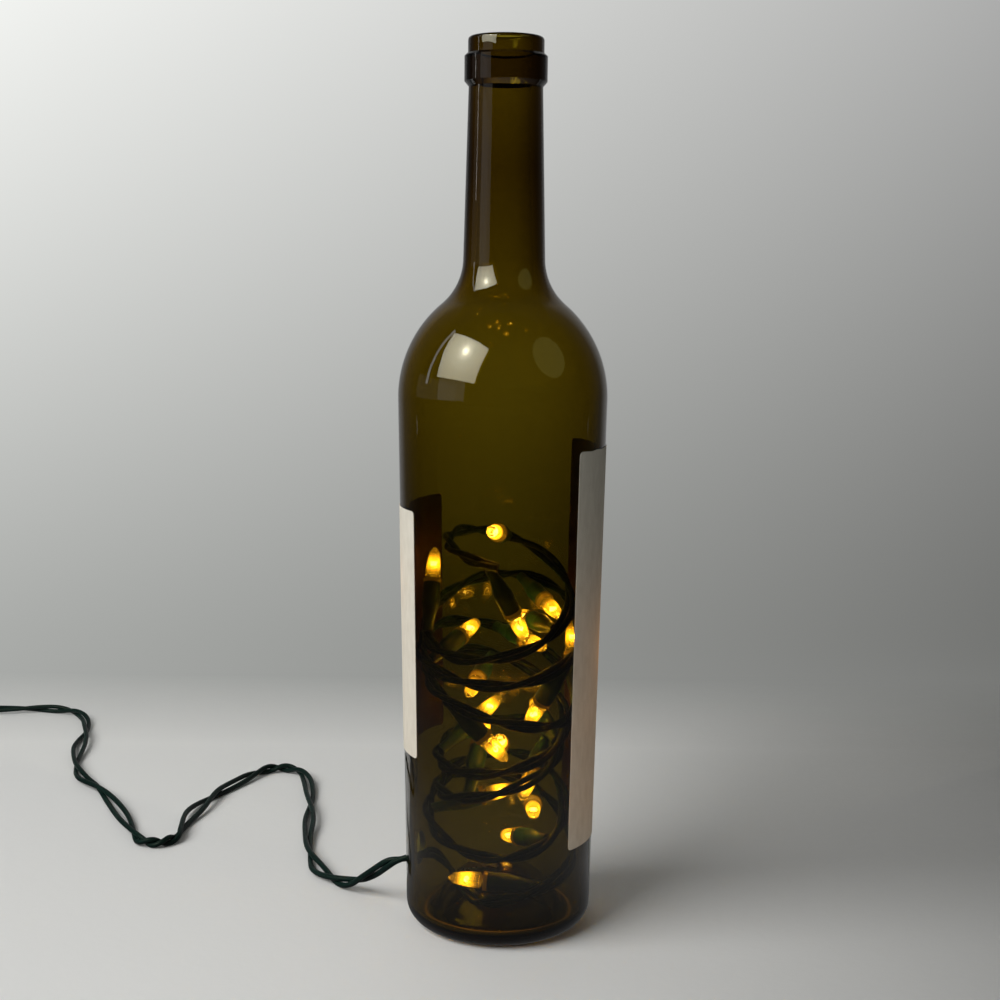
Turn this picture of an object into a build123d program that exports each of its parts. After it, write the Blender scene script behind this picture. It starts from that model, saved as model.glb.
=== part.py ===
from build123d import *
import os
from bisect import bisect_left
from math import cos, pi, radians, sin, sqrt, tan

# A wine bottle made into a lamp. A string of twenty small lamps was pushed in through a hole
# drilled low in the back of the bottle, and its twisted lead runs out over the table to a tied
# coil and a fused plug. The bottle stands open, with a paper label front and back.
# Lengths are in millimetres. The bottle stands on z = 0 with its axis on z, the front label
# faces +x and the lead leaves towards -x.

# Bottle
bottle_height = 325.0
wall = 3.0
body_base_radius = 34.4
body_top_radius = 38.0
shoulder_height = 197.0
shoulder_arc = 44.0
neck_arc = 21.4
neck_foot_radius = 14.75
neck_foot_height = 247.0
neck_top_radius = 13.2
heel_arc = 8.7
bearing_width = 3.4
punt_depth = 19.0
punt_wall = 3.5
gutter_arc = 4.0

# Cork finish at the mouth
lip_radius = 13.5
lip_height = 6.0
lip_round = 1.4
ring_radius = 14.75
ring_height = 9.5
ring_chamfer = 0.8
ring_slope = 1.8
mouth_bore_radius = 9.25
mouth_round = 1.0
bore_length = 45.0
bore_taper = 14.0

# Hole for the lead, drilled through the wall
hole_radius = 6.35
hole_height = 24.5
hole_azimuth = 170.0

# Paper labels, with widths measured along the glass
label_thickness = 0.15
label_glue = 0.4
label_corner = 1.5
front_label_width = 54.0
front_label_height = 146.0
front_label_middle = 108.0
front_label_azimuth = -1.5
back_label_width = 52.0
back_label_height = 91.0
back_label_middle = 113.0
back_label_azimuth = 172.5

# Twisted pair of insulated wires, as the round it fills
wire_radius = 2.0
seat_gap = 0.3

# Light string wound loosely inside the bottle
lamp_count = 20
first_lamp_share = 0.66
string_turns = 7.07
winding_turns = 7.3
winding_pitch = 16.0
winding_foot = 25.0
winding_start = 225.0
winding_join = 0.08
winding_gap = 1.2
winding_sway = 7.0
sways = 1.5
lean_at_foot = 0.30
lean_at_top = 0.50
lean_wave = 0.15
lean_waves = 2.6
swing_at_foot = -35.0
swing_at_top = 40.0
swing_wave = 50.0
swing_waves = 2.2
closing_turns = 0.7
closing_radius = 11.0

# One lamp, measured along its axis from the middle of the wire
socket_start = 1.8
socket_nose_radius = 2.0
socket_taper_end = 13.0
socket_end = 20.5
socket_radius = 3.4
pocket_radius = 2.4
pocket_depth = 9.0
lamp_fit = 0.15
flange_radius = 3.6
flange_height = 1.5
stem_length = 8.4
bulb_radius = 2.9
bulb_neck_radius = 1.6
bulb_neck_length = 3.2
bulb_length = 12.6
bulb_glass = 0.45
lead_in_radius = 0.8
filament_radius = 0.15
filament_half_width = 1.3
filament_height = 6.0

# How each lamp lies, in degrees: lean along the wire, then tilt up from the wire's inner side
lamp_lies = [
    (-45, 20), (-25, 10), (0, 15), (10, -20), (0, 25),
    (0, 50), (-35, -35), (-35, 30), (45, -5), (15, -20),
    (35, -45), (45, 75), (-30, 5), (-30, 10), (-15, -55),
    (-40, -20), (-45, 75), (25, -15), (10, 10), (35, -75),
]

# Lead outside the bottle. It droops out of the hole, lies on the table in the folds that the
# real one has, and is led to the coil.
exit_droop = 18.0
exit_reach = 1.5
exit_run = 7.0
lead_route = [
    (-48.6, 13.0, 11.2), (-56.5, 21.5, 3.9), (-65.5, 28.5, 2.1), (-74.0, 42.0, 2.1),
    (-80.5, 66.0, 2.1), (-83.5, 102.0, 2.1), (-87.5, 138.0, 2.1), (-92.0, 161.0, 2.1),
    (-98.5, 172.0, 2.1), (-108.5, 174.5, 2.1), (-117.0, 166.0, 2.1), (-123.0, 150.5, 2.1),
    (-131.8, 131.0, 2.1), (-136.5, 107.0, 2.1), (-137.5, 89.0, 2.1), (-136.8, 74.5, 2.1),
    (-143.2, 68.2, 2.1), (-151.8, 70.2, 2.1), (-158.5, 84.5, 2.1), (-171.0, 113.0, 2.1),
    (-186.5, 141.5, 2.1), (-198.5, 156.0, 2.1), (-206.5, 176.0, 2.1), (-212.0, 206.0, 2.1),
    (-215.5, 236.0, 2.1), (-222.0, 259.0, 2.1), (-233.5, 272.0, 2.1), (-251.0, 275.0, 2.1),
    (-270.0, 272.5, 2.1),
]
arc_share = 0.45

# Coil of the spare lead: it winds in on the table, climbs and winds out again on top
coil_x = -308.0
coil_y = 244.6
coil_outer_radius = 25.4
coil_pitch = 4.6
coil_layer = 4.5
coil_turns_a_layer = 1.875
coil_reversal = 0.5
coil_lead_in = 16.0
coil_tail = 20.0
tie_thickness = 0.6
tie_width = 4.0
tie_azimuth = -60.0

# Plug, measured forward from the end of the cord
plug_nose = 9.0
plug_nose_width = 9.0
plug_nose_height = 8.0
plug_length = 26.0
plug_width = 21.0
plug_round = 2.4
grip_count = 4
grip_pitch = 3.0
grip_width = 1.3
grip_depth = 0.7
blade_spacing = 12.7
blade_thickness = 1.5
blade_reach = 17.5
blade_root = 7.0
narrow_blade = 6.35
wide_blade = 7.95
blade_hole_radius = 1.6
blade_hole_back = 4.2
blade_tip_chamfer = 1.0
door_length = 19.0
door_width = 12.0
door_lip = 1.2
door_lip_height = 1.0
door_height = 2.7
door_clearance = 0.2
door_rib_count = 3
door_rib_height = 0.4
fuse_radius = 1.8
fuse_length = 10.4
fuse_gap = 0.2
contact_thickness = 0.5
bay_wall = 3.0

UP = Vector(0, 0, 1)


def flat(radius, height):
    """A point of the bottle's profile."""
    return Vector(radius, 0, height)


def further_point(start, way, centre, reach):
    """The further of the two points of a line that lie at a reach from a centre."""
    foot = start + way * (centre - start).dot(way)
    return foot + way * sqrt(reach**2 - (foot - centre).length**2)


def arc_about(centre, start, end):
    """The shorter arc between two points at the same distance from a centre."""
    middle = ((start - centre).normalized() + (end - centre).normalized()).normalized()
    return ThreePointArc(start, centre + middle * (start - centre).length, end)


def turned(*lines):
    """The solid that an outline, closed by some lines, sweeps out round the z axis."""
    return revolve(make_face([edge for line in lines for edge in line.edges()]), axis=Axis.Z)


# Straight lines of the bottle's profile, with their outward sides
body_foot = flat(body_base_radius, 0)
body_head = flat(body_top_radius, shoulder_height)
body_way = (body_head - body_foot).normalized()
body_out = flat(body_way.Z, -body_way.X)
neck_top_height = bottle_height - lip_height - ring_height - ring_slope
neck_foot = flat(neck_foot_radius, neck_foot_height)
neck_head = flat(neck_top_radius, neck_top_height)
neck_way = (neck_head - neck_foot).normalized()
neck_out = flat(neck_way.Z, -neck_way.X)


def body_radius(height, inward=0.0):
    """Radius of the body's outside at a height, or of a surface that far inside the glass."""
    surface = body_foot - body_out * inward
    return surface.X + (height - surface.Z) * body_way.X / body_way.Z


def make_bottle():
    """One glass piece: punt, heel, tapered body, swept shoulder, neck and cork finish."""
    shoulder_centre = body_head - body_out * shoulder_arc
    neck_line = neck_foot + neck_out * neck_arc
    sweep_centre = further_point(neck_line, neck_way, shoulder_centre, neck_arc + shoulder_arc)
    across = (sweep_centre - shoulder_centre).normalized()

    heel_start = body_foot - body_out * heel_arc
    heel_centre = heel_start + body_way * ((heel_arc - heel_start.Z) / body_way.Z)
    bearing_outer = flat(heel_centre.X, 0)
    bearing_inner = flat(heel_centre.X - bearing_width, 0)
    heel_top = heel_centre + body_out * heel_arc

    punt_arc = (bearing_inner.X**2 + punt_depth**2) / (2 * punt_depth)
    punt_centre = flat(0, punt_depth - punt_arc)
    dome_arc = punt_arc + punt_wall
    gutter_line = body_foot - body_out * (wall + gutter_arc)
    gutter_centre = further_point(gutter_line, body_way, punt_centre, dome_arc + gutter_arc)
    gutter_top = gutter_centre + body_out * gutter_arc
    dome_foot = punt_centre + (gutter_centre - punt_centre).normalized() * dome_arc

    def shoulder(depth):
        """Body line's head, shoulder arc and neck sweep, that far inside the outer skin."""
        head = body_head - body_out * depth
        turn = shoulder_centre + across * (shoulder_arc - depth)
        foot = sweep_centre - neck_out * (neck_arc + depth)
        arcs = [arc_about(shoulder_centre, head, turn), arc_about(sweep_centre, turn, foot)]
        return head, arcs, foot

    outer_head, outer_arcs, outer_foot = shoulder(0.0)
    inner_head, inner_arcs, inner_foot = shoulder(wall)
    bore_foot = flat(mouth_bore_radius, bottle_height - bore_length)
    taper_height = bore_foot.Z - bore_taper
    inner_neck = inner_foot + neck_way * ((taper_height - inner_foot.Z) / neck_way.Z)

    ring_top = bottle_height - lip_height
    finish = [
        neck_head,
        flat(ring_radius, neck_top_height + ring_slope),
        flat(ring_radius, ring_top - ring_chamfer),
        flat(ring_radius - ring_chamfer, ring_top),
        flat(lip_radius, ring_top),
        flat(lip_radius, bottle_height - lip_round),
    ]
    lip_end = flat(lip_radius - lip_round, bottle_height)
    mouth_edge = flat(mouth_bore_radius + mouth_round, bottle_height)
    mouth_top = flat(mouth_bore_radius, bottle_height - mouth_round)
    lip_centre = flat(lip_radius - lip_round, bottle_height - lip_round)
    mouth_centre = flat(mouth_bore_radius + mouth_round, bottle_height - mouth_round)

    punt_top = flat(0, punt_depth)
    dome_top = flat(0, punt_depth + punt_wall)
    profile = [
        arc_about(punt_centre, punt_top, bearing_inner),
        Line(bearing_inner, bearing_outer),
        arc_about(heel_centre, bearing_outer, heel_top),
        Line(heel_top, outer_head),
        *outer_arcs,
        Polyline(outer_foot, *finish),
        arc_about(lip_centre, finish[-1], lip_end),
        Line(lip_end, mouth_edge),
        arc_about(mouth_centre, mouth_edge, mouth_top),
        Polyline(mouth_top, bore_foot, inner_neck, inner_foot),
        *inner_arcs,
        Line(inner_head, gutter_top),
        arc_about(gutter_centre, gutter_top, dome_foot),
        arc_about(punt_centre, dome_foot, dome_top),
        Line(dome_top, punt_top),
    ]
    glass = turned(*profile)
    outward = (Align.CENTER, Align.CENTER, Align.MIN)
    return glass - hole_plane() * Cylinder(hole_radius, body_top_radius, align=outward)


def hole_plane():
    """Plane across the drilled hole, half way in to the axis, looking outward."""
    way = Vector(cos(radians(hole_azimuth)), sin(radians(hole_azimuth)), 0)
    middle = way * (body_base_radius / 2) + UP * hole_height
    return Plane(origin=middle, x_dir=UP, z_dir=way)


def make_label(width, height, centre, azimuth):
    """A sheet of paper bent round the body, with clipped corners."""
    low = centre - height / 2
    high = centre + height / 2
    skin = [flat(body_radius(z, -depth), z) for depth, z in (
        (label_glue, low),
        (label_glue + label_thickness, low),
        (label_glue + label_thickness, high),
        (label_glue, high),
    )]
    sleeve = turned(Polyline(*skin, close=True))
    radius = body_radius(centre)
    chord = 2 * radius * sin(width / (2 * radius))
    way = Vector(cos(radians(azimuth)), sin(radians(azimuth)), 0)
    cutter = Plane(origin=UP * centre, x_dir=UP.cross(way), z_dir=way)
    window = extrude(cutter * RectangleRounded(chord, height, label_corner), 2 * body_top_radius)
    return sleeve & window


def arc_radius(start, way, end):
    """Radius of the arc that leaves a point in a direction and ends at another point."""
    chord = end - start
    return chord.length / (2 * sin(radians(way.get_angle(chord))))


def biarc(start, start_way, end, end_way):
    """Two arcs, tangent to each other, between two points with a direction at each."""
    chord = end - start
    ways = start_way + end_way
    bend = 2 * (1 - start_way.dot(end_way))
    lead = chord.dot(ways)
    reach = (sqrt(lead**2 + bend * chord.dot(chord)) - lead) / bend
    middle = (start + end + (start_way - end_way) * reach) / 2
    middle_way = (chord - ways * reach).normalized()
    radii = [arc_radius(start, start_way, middle), arc_radius(middle, middle_way, end)]
    arcs = [TangentArc(start, middle, tangent=start_way), TangentArc(middle, end, tangent=middle_way)]
    return arcs, radii


def direction(curve, turn, step=0.001):
    """Direction in which a curve runs after so many turns."""
    return (curve(turn + step) - curve(turn - step)).normalized()


def wound_path(curve, first, last):
    """Biarcs of about a quarter turn along a wound curve, and their least radius."""
    count = round((last - first) * 4)
    marks = [first + (last - first) * step / count for step in range(count + 1)]
    arcs = []
    radii = []
    for here, there in zip(marks, marks[1:]):
        pair, bends = biarc(curve(here), direction(curve, here), curve(there), direction(curve, there))
        arcs += pair
        radii += bends
    return arcs, min(radii)


def tube(path):
    """A round tube of the twisted pair's size along a path."""
    section = Plane(origin=path @ 0, z_dir=path % 0) * Circle(wire_radius)
    return sweep(section, path=path)


def check_tube(name, solid, path):
    """Print a tube's length and its volume against section times length."""
    share = solid.volume / (pi * wire_radius**2 * path.length)
    print(f"{name}: length {path.length:.1f}, volume share {share:.4f}")


def least_gap(curve, turns, samples=48):
    """Least clear gap between two stretches of a wound tube that are over half a turn apart."""
    count = round(turns * samples)
    points = [curve(turns * step / count) for step in range(count + 1)]
    apart = samples // 2
    gaps = [
        (points[i] - points[j]).length
        for i in range(len(points))
        for j in range(i + apart, len(points))
    ]
    return min(gaps) - 2 * wire_radius


def string_curve(turn):
    """The light string after so many turns: a loose helix, leaning and swaying as it climbs."""
    share = turn / winding_turns
    angle = radians(winding_start) + 2 * pi * turn
    rise = winding_foot + winding_pitch * turn
    radius = body_radius(rise, wall) - wire_radius - winding_gap
    radius -= winding_sway * (1 - cos(2 * pi * sways * share)) / 2
    closing = max(0.0, (turn - winding_turns + closing_turns) / closing_turns)
    radius += (closing_radius - radius) * closing**2 * (3 - 2 * closing)
    lean = lean_at_foot + (lean_at_top - lean_at_foot) * share
    lean += lean_wave * sin(2 * pi * lean_waves * share)
    swing = swing_at_foot + (swing_at_top - swing_at_foot) * share
    swing += swing_wave * sin(2 * pi * swing_waves * share)
    height = rise + lean * radius * sin(angle - radians(swing))
    return Vector(radius * cos(angle), radius * sin(angle), height)


def lamp_turns(steps=3600):
    """Turns of the light string at which its lamps stand, evenly spaced along the wire."""
    turns = [string_turns * step / steps for step in range(steps + 1)]
    points = [string_curve(turn) for turn in turns]
    runs = [0.0]
    for before, after in zip(points, points[1:]):
        runs.append(runs[-1] + (after - before).length)
    spacing = runs[-1] / (lamp_count - 1 + first_lamp_share)
    print(f"lamp spacing {spacing:.1f}")
    places = [spacing * (first_lamp_share + index) for index in range(lamp_count - 1)]
    return [turns[bisect_left(runs, place)] for place in places] + [string_turns]


def exit_line():
    """Where the pair rests on the hole's outer lip, and the way it droops outward there."""
    out = Vector(cos(radians(hole_azimuth)), sin(radians(hole_azimuth)), 0)
    way = out * cos(radians(exit_droop)) - UP * sin(radians(exit_droop))
    lip_height_at_hole = hole_height - hole_radius
    rest = out * body_radius(lip_height_at_hole)
    rest += UP * (lip_height_at_hole + seat_gap + wire_radius / cos(radians(exit_droop)))
    return rest, way


def make_string():
    """The pair from the drilled hole to the last lamp."""
    rest, way = exit_line()
    outer_end = rest + way * exit_reach
    inner_end = rest - way * (wall + exit_reach)
    join = string_curve(winding_join)
    entry, entry_radii = biarc(inner_end, -way, join, direction(string_curve, winding_join))
    winding, winding_radius = wound_path(string_curve, winding_join, string_turns)
    last_point = string_curve(string_turns)
    last_end = last_point + direction(string_curve, string_turns) * 2 * wire_radius
    path = Wire([Line(outer_end, inner_end), *entry, *winding, Line(last_point, last_end)])
    solid = tube(path)
    check_tube("light_string", solid, path)
    print(f"light_string: least radius {min(entry_radii + [winding_radius]):.1f}, "
          f"least gap {least_gap(string_curve, string_turns):.2f}")
    return solid


def pair_groove(turn, reach=0.06):
    """A short length of the pair, a little thicker, to cut the seat that a socket has on it."""
    path = ThreePointArc(*[string_curve(turn + step) for step in (-reach, 0.0, reach)])
    section = Plane(origin=path @ 0, z_dir=path % 0) * Circle(wire_radius + seat_gap)
    return sweep(section, path=path)


def lamp_stands():
    """For each lamp, a plane on the wire with z along the lamp, and the turn it stands at."""
    stands = []
    for turn, (lean, tilt) in zip(lamp_turns(), lamp_lies):
        point = string_curve(turn)
        along = direction(string_curve, turn)
        inward = Vector(-point.X, -point.Y, 0)
        inward = (inward - along * inward.dot(along)).normalized()
        upward = along.cross(inward)
        side = inward * cos(radians(tilt)) + upward * sin(radians(tilt))
        axis = side * cos(radians(lean)) + along * sin(radians(lean))
        plane = Plane(origin=point, x_dir=along.cross(axis).normalized(), z_dir=axis)
        stands.append((plane, turn))
    return stands


def make_socket():
    """Tapered lamp holder with its pocket, open at the lamp's end."""
    pocket_floor = socket_end - pocket_depth
    outline = Polyline(
        flat(0, socket_start),
        flat(socket_nose_radius, socket_start),
        flat(socket_nose_radius, socket_start + 2 * wire_radius),
        flat(socket_radius, socket_taper_end),
        flat(socket_radius, socket_end),
        flat(pocket_radius, socket_end),
        flat(pocket_radius, pocket_floor),
        flat(0, pocket_floor),
        close=True,
    )
    return turned(outline)


def make_base():
    """Push-in base: a flange that sits on the socket and a stem with the bulb's recess."""
    top = socket_end + flange_height
    recess_radius = bulb_neck_radius + lamp_fit
    recess_floor = top - bulb_neck_length - lamp_fit
    stem_radius = pocket_radius - lamp_fit
    outline = Polyline(
        flat(0, socket_end - stem_length),
        flat(stem_radius, socket_end - stem_length),
        flat(stem_radius, socket_end),
        flat(flange_radius, socket_end),
        flat(flange_radius, top),
        flat(recess_radius, top),
        flat(recess_radius, recess_floor),
        flat(0, recess_floor),
        close=True,
    )
    return turned(outline)


def make_bulb():
    """Thin glass envelope with a drawn tip, open at its neck for the leads."""
    neck_foot_at = socket_end + flange_height - bulb_neck_length
    shoulder_at = socket_end + flange_height + lamp_fit
    belly_at = shoulder_at + bulb_radius - bulb_neck_radius
    tip_at = shoulder_at + bulb_length
    brow_at = tip_at - bulb_radius
    floor_at = shoulder_at + bulb_glass
    inner_belly = bulb_radius - bulb_glass
    outline = [
        Polyline(
            flat(lead_in_radius, floor_at),
            flat(lead_in_radius, neck_foot_at),
            flat(bulb_neck_radius, neck_foot_at),
            flat(bulb_neck_radius, shoulder_at),
            flat(bulb_radius, belly_at),
        ),
        TangentArc(flat(bulb_radius, belly_at), flat(bulb_radius * 0.72, brow_at), tangent=UP),
        Line(flat(bulb_radius * 0.72, brow_at), flat(0, tip_at)),
        Line(flat(0, tip_at), flat(0, tip_at - 2 * bulb_glass)),
        Line(flat(0, tip_at - 2 * bulb_glass), flat(inner_belly * 0.72, brow_at)),
        TangentArc(flat(inner_belly, belly_at), flat(inner_belly * 0.72, brow_at), tangent=UP),
        Line(flat(inner_belly, belly_at), flat(lead_in_radius, floor_at)),
    ]
    return turned(*outline)


def make_filament():
    """Two lead wires and the filament between them, as one bent wire."""
    foot = socket_end + flange_height - bulb_neck_length - lamp_fit
    neck = socket_end + flange_height + lamp_fit + bulb_glass
    crown = neck + filament_height
    lead = lead_in_radius / 2
    points = [
        flat(-lead, foot),
        flat(-lead, neck),
        flat(-filament_half_width, crown),
        flat(filament_half_width, crown),
        flat(lead, neck),
        flat(lead, foot),
    ]
    path = FilletPolyline(*points, radius=2 * filament_radius)
    section = Plane(origin=points[0], z_dir=UP) * Circle(filament_radius)
    return sweep(section, path=path)


def coil_height():
    """Height of the coil's lower turns, which lie on the tie."""
    return tie_thickness + seat_gap + wire_radius


def coil_curve(turn):
    """The coil after so many turns: in on the table, up a layer, and out again on top."""
    inner_radius = coil_outer_radius - coil_pitch * coil_turns_a_layer
    angle = pi / 2 + 2 * pi * turn
    past = turn - coil_turns_a_layer
    if past <= 0:
        radius = inner_radius - coil_pitch * past
        climb = 0.0
    elif past < coil_reversal:
        share = past / coil_reversal
        radius = inner_radius - coil_pitch * past * (1 - share)
        climb = share**2 * (3 - 2 * share)
    else:
        radius = inner_radius + coil_pitch * (past - coil_reversal)
        climb = 1.0
    height = coil_height() + coil_layer * climb
    return Vector(coil_x + radius * cos(angle), coil_y + radius * sin(angle), height)


def coil_ends():
    """First and last points of the coil's tube, with the straight ends it has there."""
    turns = 2 * coil_turns_a_layer + coil_reversal
    first = coil_curve(0.0) + Vector(2 * wire_radius, 0, 0)
    last = coil_curve(turns) - Vector(0, coil_tail, 0)
    return first, last, turns


def make_coil():
    """Spare lead in a tied coil of two layers, one unbroken tube."""
    first, last, turns = coil_ends()
    winding, radius = wound_path(coil_curve, 0.0, turns)
    start = winding[0] @ 0
    end = winding[-1] @ 1
    lead_in, in_radii = biarc(first, Vector(-1, 0, 0), start, winding[0] % 0)
    tail, out_radii = biarc(end, winding[-1] % 1, last, Vector(0, -1, 0))
    path = Wire([*lead_in, *winding, *tail])
    solid = tube(path)
    check_tube("lead_coil", solid, path)
    print(f"lead_coil: least radius {min([radius] + in_radii + out_radii):.1f}, "
          f"least gap {least_gap(coil_curve, turns):.2f}")
    return solid, path


def make_tie():
    """Flat tie closed round the coil's turns."""
    inner_radius = coil_outer_radius - coil_pitch * (coil_turns_a_layer + coil_reversal / 4)
    low = coil_height() - wire_radius - seat_gap
    high = coil_height() + coil_layer + wire_radius + seat_gap
    near = inner_radius - wire_radius - seat_gap
    far = coil_outer_radius + wire_radius + seat_gap
    way = Vector(cos(radians(tie_azimuth)), sin(radians(tie_azimuth)), 0)
    middle = Vector(coil_x, coil_y, (low + high) / 2) + way * ((near + far) / 2)
    plane = Plane(origin=middle, x_dir=way, z_dir=way.cross(UP))
    inside = RectangleRounded(far - near, high - low, wire_radius)
    outside = RectangleRounded(far - near + 2 * tie_thickness, high - low + 2 * tie_thickness,
                               wire_radius + tie_thickness)
    return extrude(plane * (outside - inside), tie_width / 2, both=True)


def make_lead():
    """The lead's free stretch, from the hole to the coil, as runs joined by large arcs."""
    rest, way = exit_line()
    start = rest + way * exit_reach
    coil_start = coil_ends()[0]
    points = [start, start + way * exit_run]
    points += [Vector(*point) for point in lead_route]
    points += [coil_start + Vector(coil_lead_in, 0, 0), coil_start]
    radii = []
    for before, here, after in zip(points, points[1:], points[2:]):
        shorter = min((here - before).length, (after - here).length)
        turn = (here - before).get_angle(after - here)
        radii.append(arc_share * shorter / tan(radians(turn / 2)))
    path = FilletPolyline(*points, radius=radii).wire()
    solid = tube(path)
    check_tube("lead", solid, path)
    print("lead radii:", " ".join(f"{radius:.1f}" for radius in radii))
    return solid, path


def plug_thickness():
    """The plug lies on the table with its cord at the height of the coil's upper turns."""
    return 2 * (coil_height() + coil_layer)


def plug_front():
    """Distance from the cord's end to the plug's face."""
    return plug_nose + plug_length


def block(x_low, x_high, width, z_low, z_high, y=0.0):
    """A box of the plug between two stations and two heights, centred across at y."""
    size = Box(x_high - x_low, width, z_high - z_low)
    return Pos((x_low + x_high) / 2, y, (z_low + z_high) / 2) * size


def channel_floor():
    """Height of the floor of the channel that the fuse door slides in."""
    return plug_thickness() - door_height - door_clearance


def bay():
    """Near and far ends, half width and floor of the fuse chamber under the door."""
    length = fuse_length + 2 * (fuse_gap + contact_thickness)
    near = plug_front() - bay_wall - length
    half_width = 2 * fuse_radius + 1.5 * fuse_gap
    floor = channel_floor() - 2 * fuse_radius - 2 * fuse_gap
    return near, near + length, half_width, floor


def blade(height, side):
    """A folded blade with a rounded tip and the usual hole, standing across the plug's face."""
    front = plug_front()
    middle = plug_thickness() / 2
    y = side * blade_spacing / 2
    body = block(front - blade_root, front + blade_reach, blade_thickness,
                 middle - height / 2, middle + height / 2, y)
    tip = body.edges().filter_by(Axis.Y).group_by(Axis.X)[-1]
    body = chamfer(tip, blade_tip_chamfer)
    hole = Plane(origin=(front + blade_reach - blade_hole_back, y, middle), z_dir=(0, 1, 0))
    return body - hole * Cylinder(blade_hole_radius, 2 * blade_thickness)


def make_plug_body():
    """Moulded plug with a tapered nose, finger grips, door channel and fuse chamber."""
    height = plug_thickness()
    rear = Plane(origin=(0, 0, height / 2), x_dir=(0, 1, 0), z_dir=(1, 0, 0))
    neck = rear * RectangleRounded(plug_nose_width, plug_nose_height, plug_round)
    face = rear.offset(plug_nose) * RectangleRounded(plug_width, height, plug_round)
    body = loft([neck, face]) + extrude(face, plug_length)

    front = plug_front()
    floor = channel_floor()
    door_back = front - door_length - door_clearance
    wide = door_width + 2 * door_clearance
    narrow = wide - 2 * door_lip
    lip_top = floor + door_lip_height + 2 * door_clearance
    body -= block(door_back, front, wide, floor, lip_top)
    body -= block(door_back, front, narrow, lip_top, height)

    near, far, half_width, bay_floor = bay()
    body -= block(near, far, 2 * half_width, bay_floor, floor)
    for height_of_blade, side in ((narrow_blade, 1), (wide_blade, -1)):
        body -= blade(height_of_blade, side)

    first_grip = plug_nose + plug_length / 2 - grip_pitch * (grip_count - 1) / 2
    for index in range(grip_count):
        station = first_grip + grip_pitch * index
        for side in (1, -1):
            y = side * plug_width / 2
            body -= block(station - grip_width / 2, station + grip_width / 2, 2 * grip_depth, 0, height, y)
    return body


def make_door():
    """Fuse door: a plate with side lips that slides forward in its channel."""
    front = plug_front()
    back = front - door_length
    low = channel_floor() + door_clearance
    lip_top = low + door_lip_height
    top = plug_thickness()
    plate = block(back, front, door_width, low, lip_top)
    plate += block(back, front, door_width - 2 * door_lip, lip_top, top)
    for index in range(door_rib_count):
        station = back + grip_pitch * (index + 1)
        plate += block(station, station + grip_width, door_width / 2, top, top + door_rib_height)
    return plate


def make_fuses():
    """Two cartridge fuses side by side on the floor of the chamber."""
    near, far, half_width, floor = bay()
    y = fuse_radius + fuse_gap / 2
    middle = Vector((near + far) / 2, 0, floor + fuse_gap + fuse_radius)
    fuse = Plane(origin=middle, z_dir=(1, 0, 0)) * Cylinder(fuse_radius, fuse_length)
    return [Pos(0, side * y, 0) * fuse for side in (1, -1)]


def make_contacts():
    """Spring contacts at the two ends of the fuse chamber."""
    near, far, half_width, floor = bay()
    width = 2 * half_width - fuse_gap
    top = floor + 2 * fuse_radius
    return [
        block(near, near + contact_thickness, width, floor, top),
        block(far - contact_thickness, far, width, floor, top),
    ]


# Assembly
nodes = {"bottle": make_bottle()}
nodes["front_label"] = make_label(
    front_label_width, front_label_height, front_label_middle, front_label_azimuth)
nodes["back_label"] = make_label(
    back_label_width, back_label_height, back_label_middle, back_label_azimuth)
nodes["light_string"] = make_string()

socket = make_socket()
lamp_base = make_base()
bulb = make_bulb()
filament = make_filament()
bases = []
filaments = []
for number, (stand, turn) in enumerate(lamp_stands(), start=1):
    seated = stand * socket - pair_groove(turn)
    nodes[f"lamp_{number:02d}_socket"] = seated.solids().sort_by(SortBy.VOLUME)[-1]
    nodes[f"lamp_{number:02d}_bulb"] = stand * bulb
    bases += (stand * lamp_base).solids()
    filaments += (stand * filament).solids()
nodes["lamp_bases"] = Compound(bases)
nodes["lamp_filaments"] = Compound(filaments)

nodes["lead_cord"], lead_path = make_lead()
nodes["lead_coil"], coil_path = make_coil()
nodes["coil_tie"] = make_tie()
print(f"lead from hole to plug: {lead_path.length + coil_path.length:.0f} mm")

cord_end = coil_ends()[1]
plug_place = Plane(origin=(cord_end.X, cord_end.Y, 0), x_dir=(0, -1, 0), z_dir=UP)
nodes["plug_body"] = plug_place * make_plug_body()
nodes["plug_blade_narrow"] = plug_place * blade(narrow_blade, 1)
nodes["plug_blade_wide"] = plug_place * blade(wide_blade, -1)
nodes["fuse_door"] = plug_place * make_door()
nodes["plug_fuses"] = Compound([s for fuse in make_fuses() for s in (plug_place * fuse).solids()])
nodes["fuse_contacts"] = Compound([s for clip in make_contacts() for s in (plug_place * clip).solids()])

os.makedirs("parts", exist_ok=True)
for name, shape in nodes.items():
    export_step(shape, f"parts/{name}.step")
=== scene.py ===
"""Looks of a wine bottle lamp: a drilled bottle of olive glass with a string of small lamps in it.

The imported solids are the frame. The glass, the labels, the bulbs, the filaments and the twisted pair of
wires are made here. The sockets, the bases, the tie and the plug keep their solids and get their finishes.
"""

import logging
import math
from collections.abc import Callable
from dataclasses import dataclass, field
from enum import Enum
from functools import cache
from typing import Any

import bmesh
import bpy
import numpy as np
from bmesh.types import BMesh, BMVert
from bpy.types import Material, Mesh, Node, NodeSocket, NodeTree, Object
from mathutils import Matrix, Vector, noise


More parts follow.
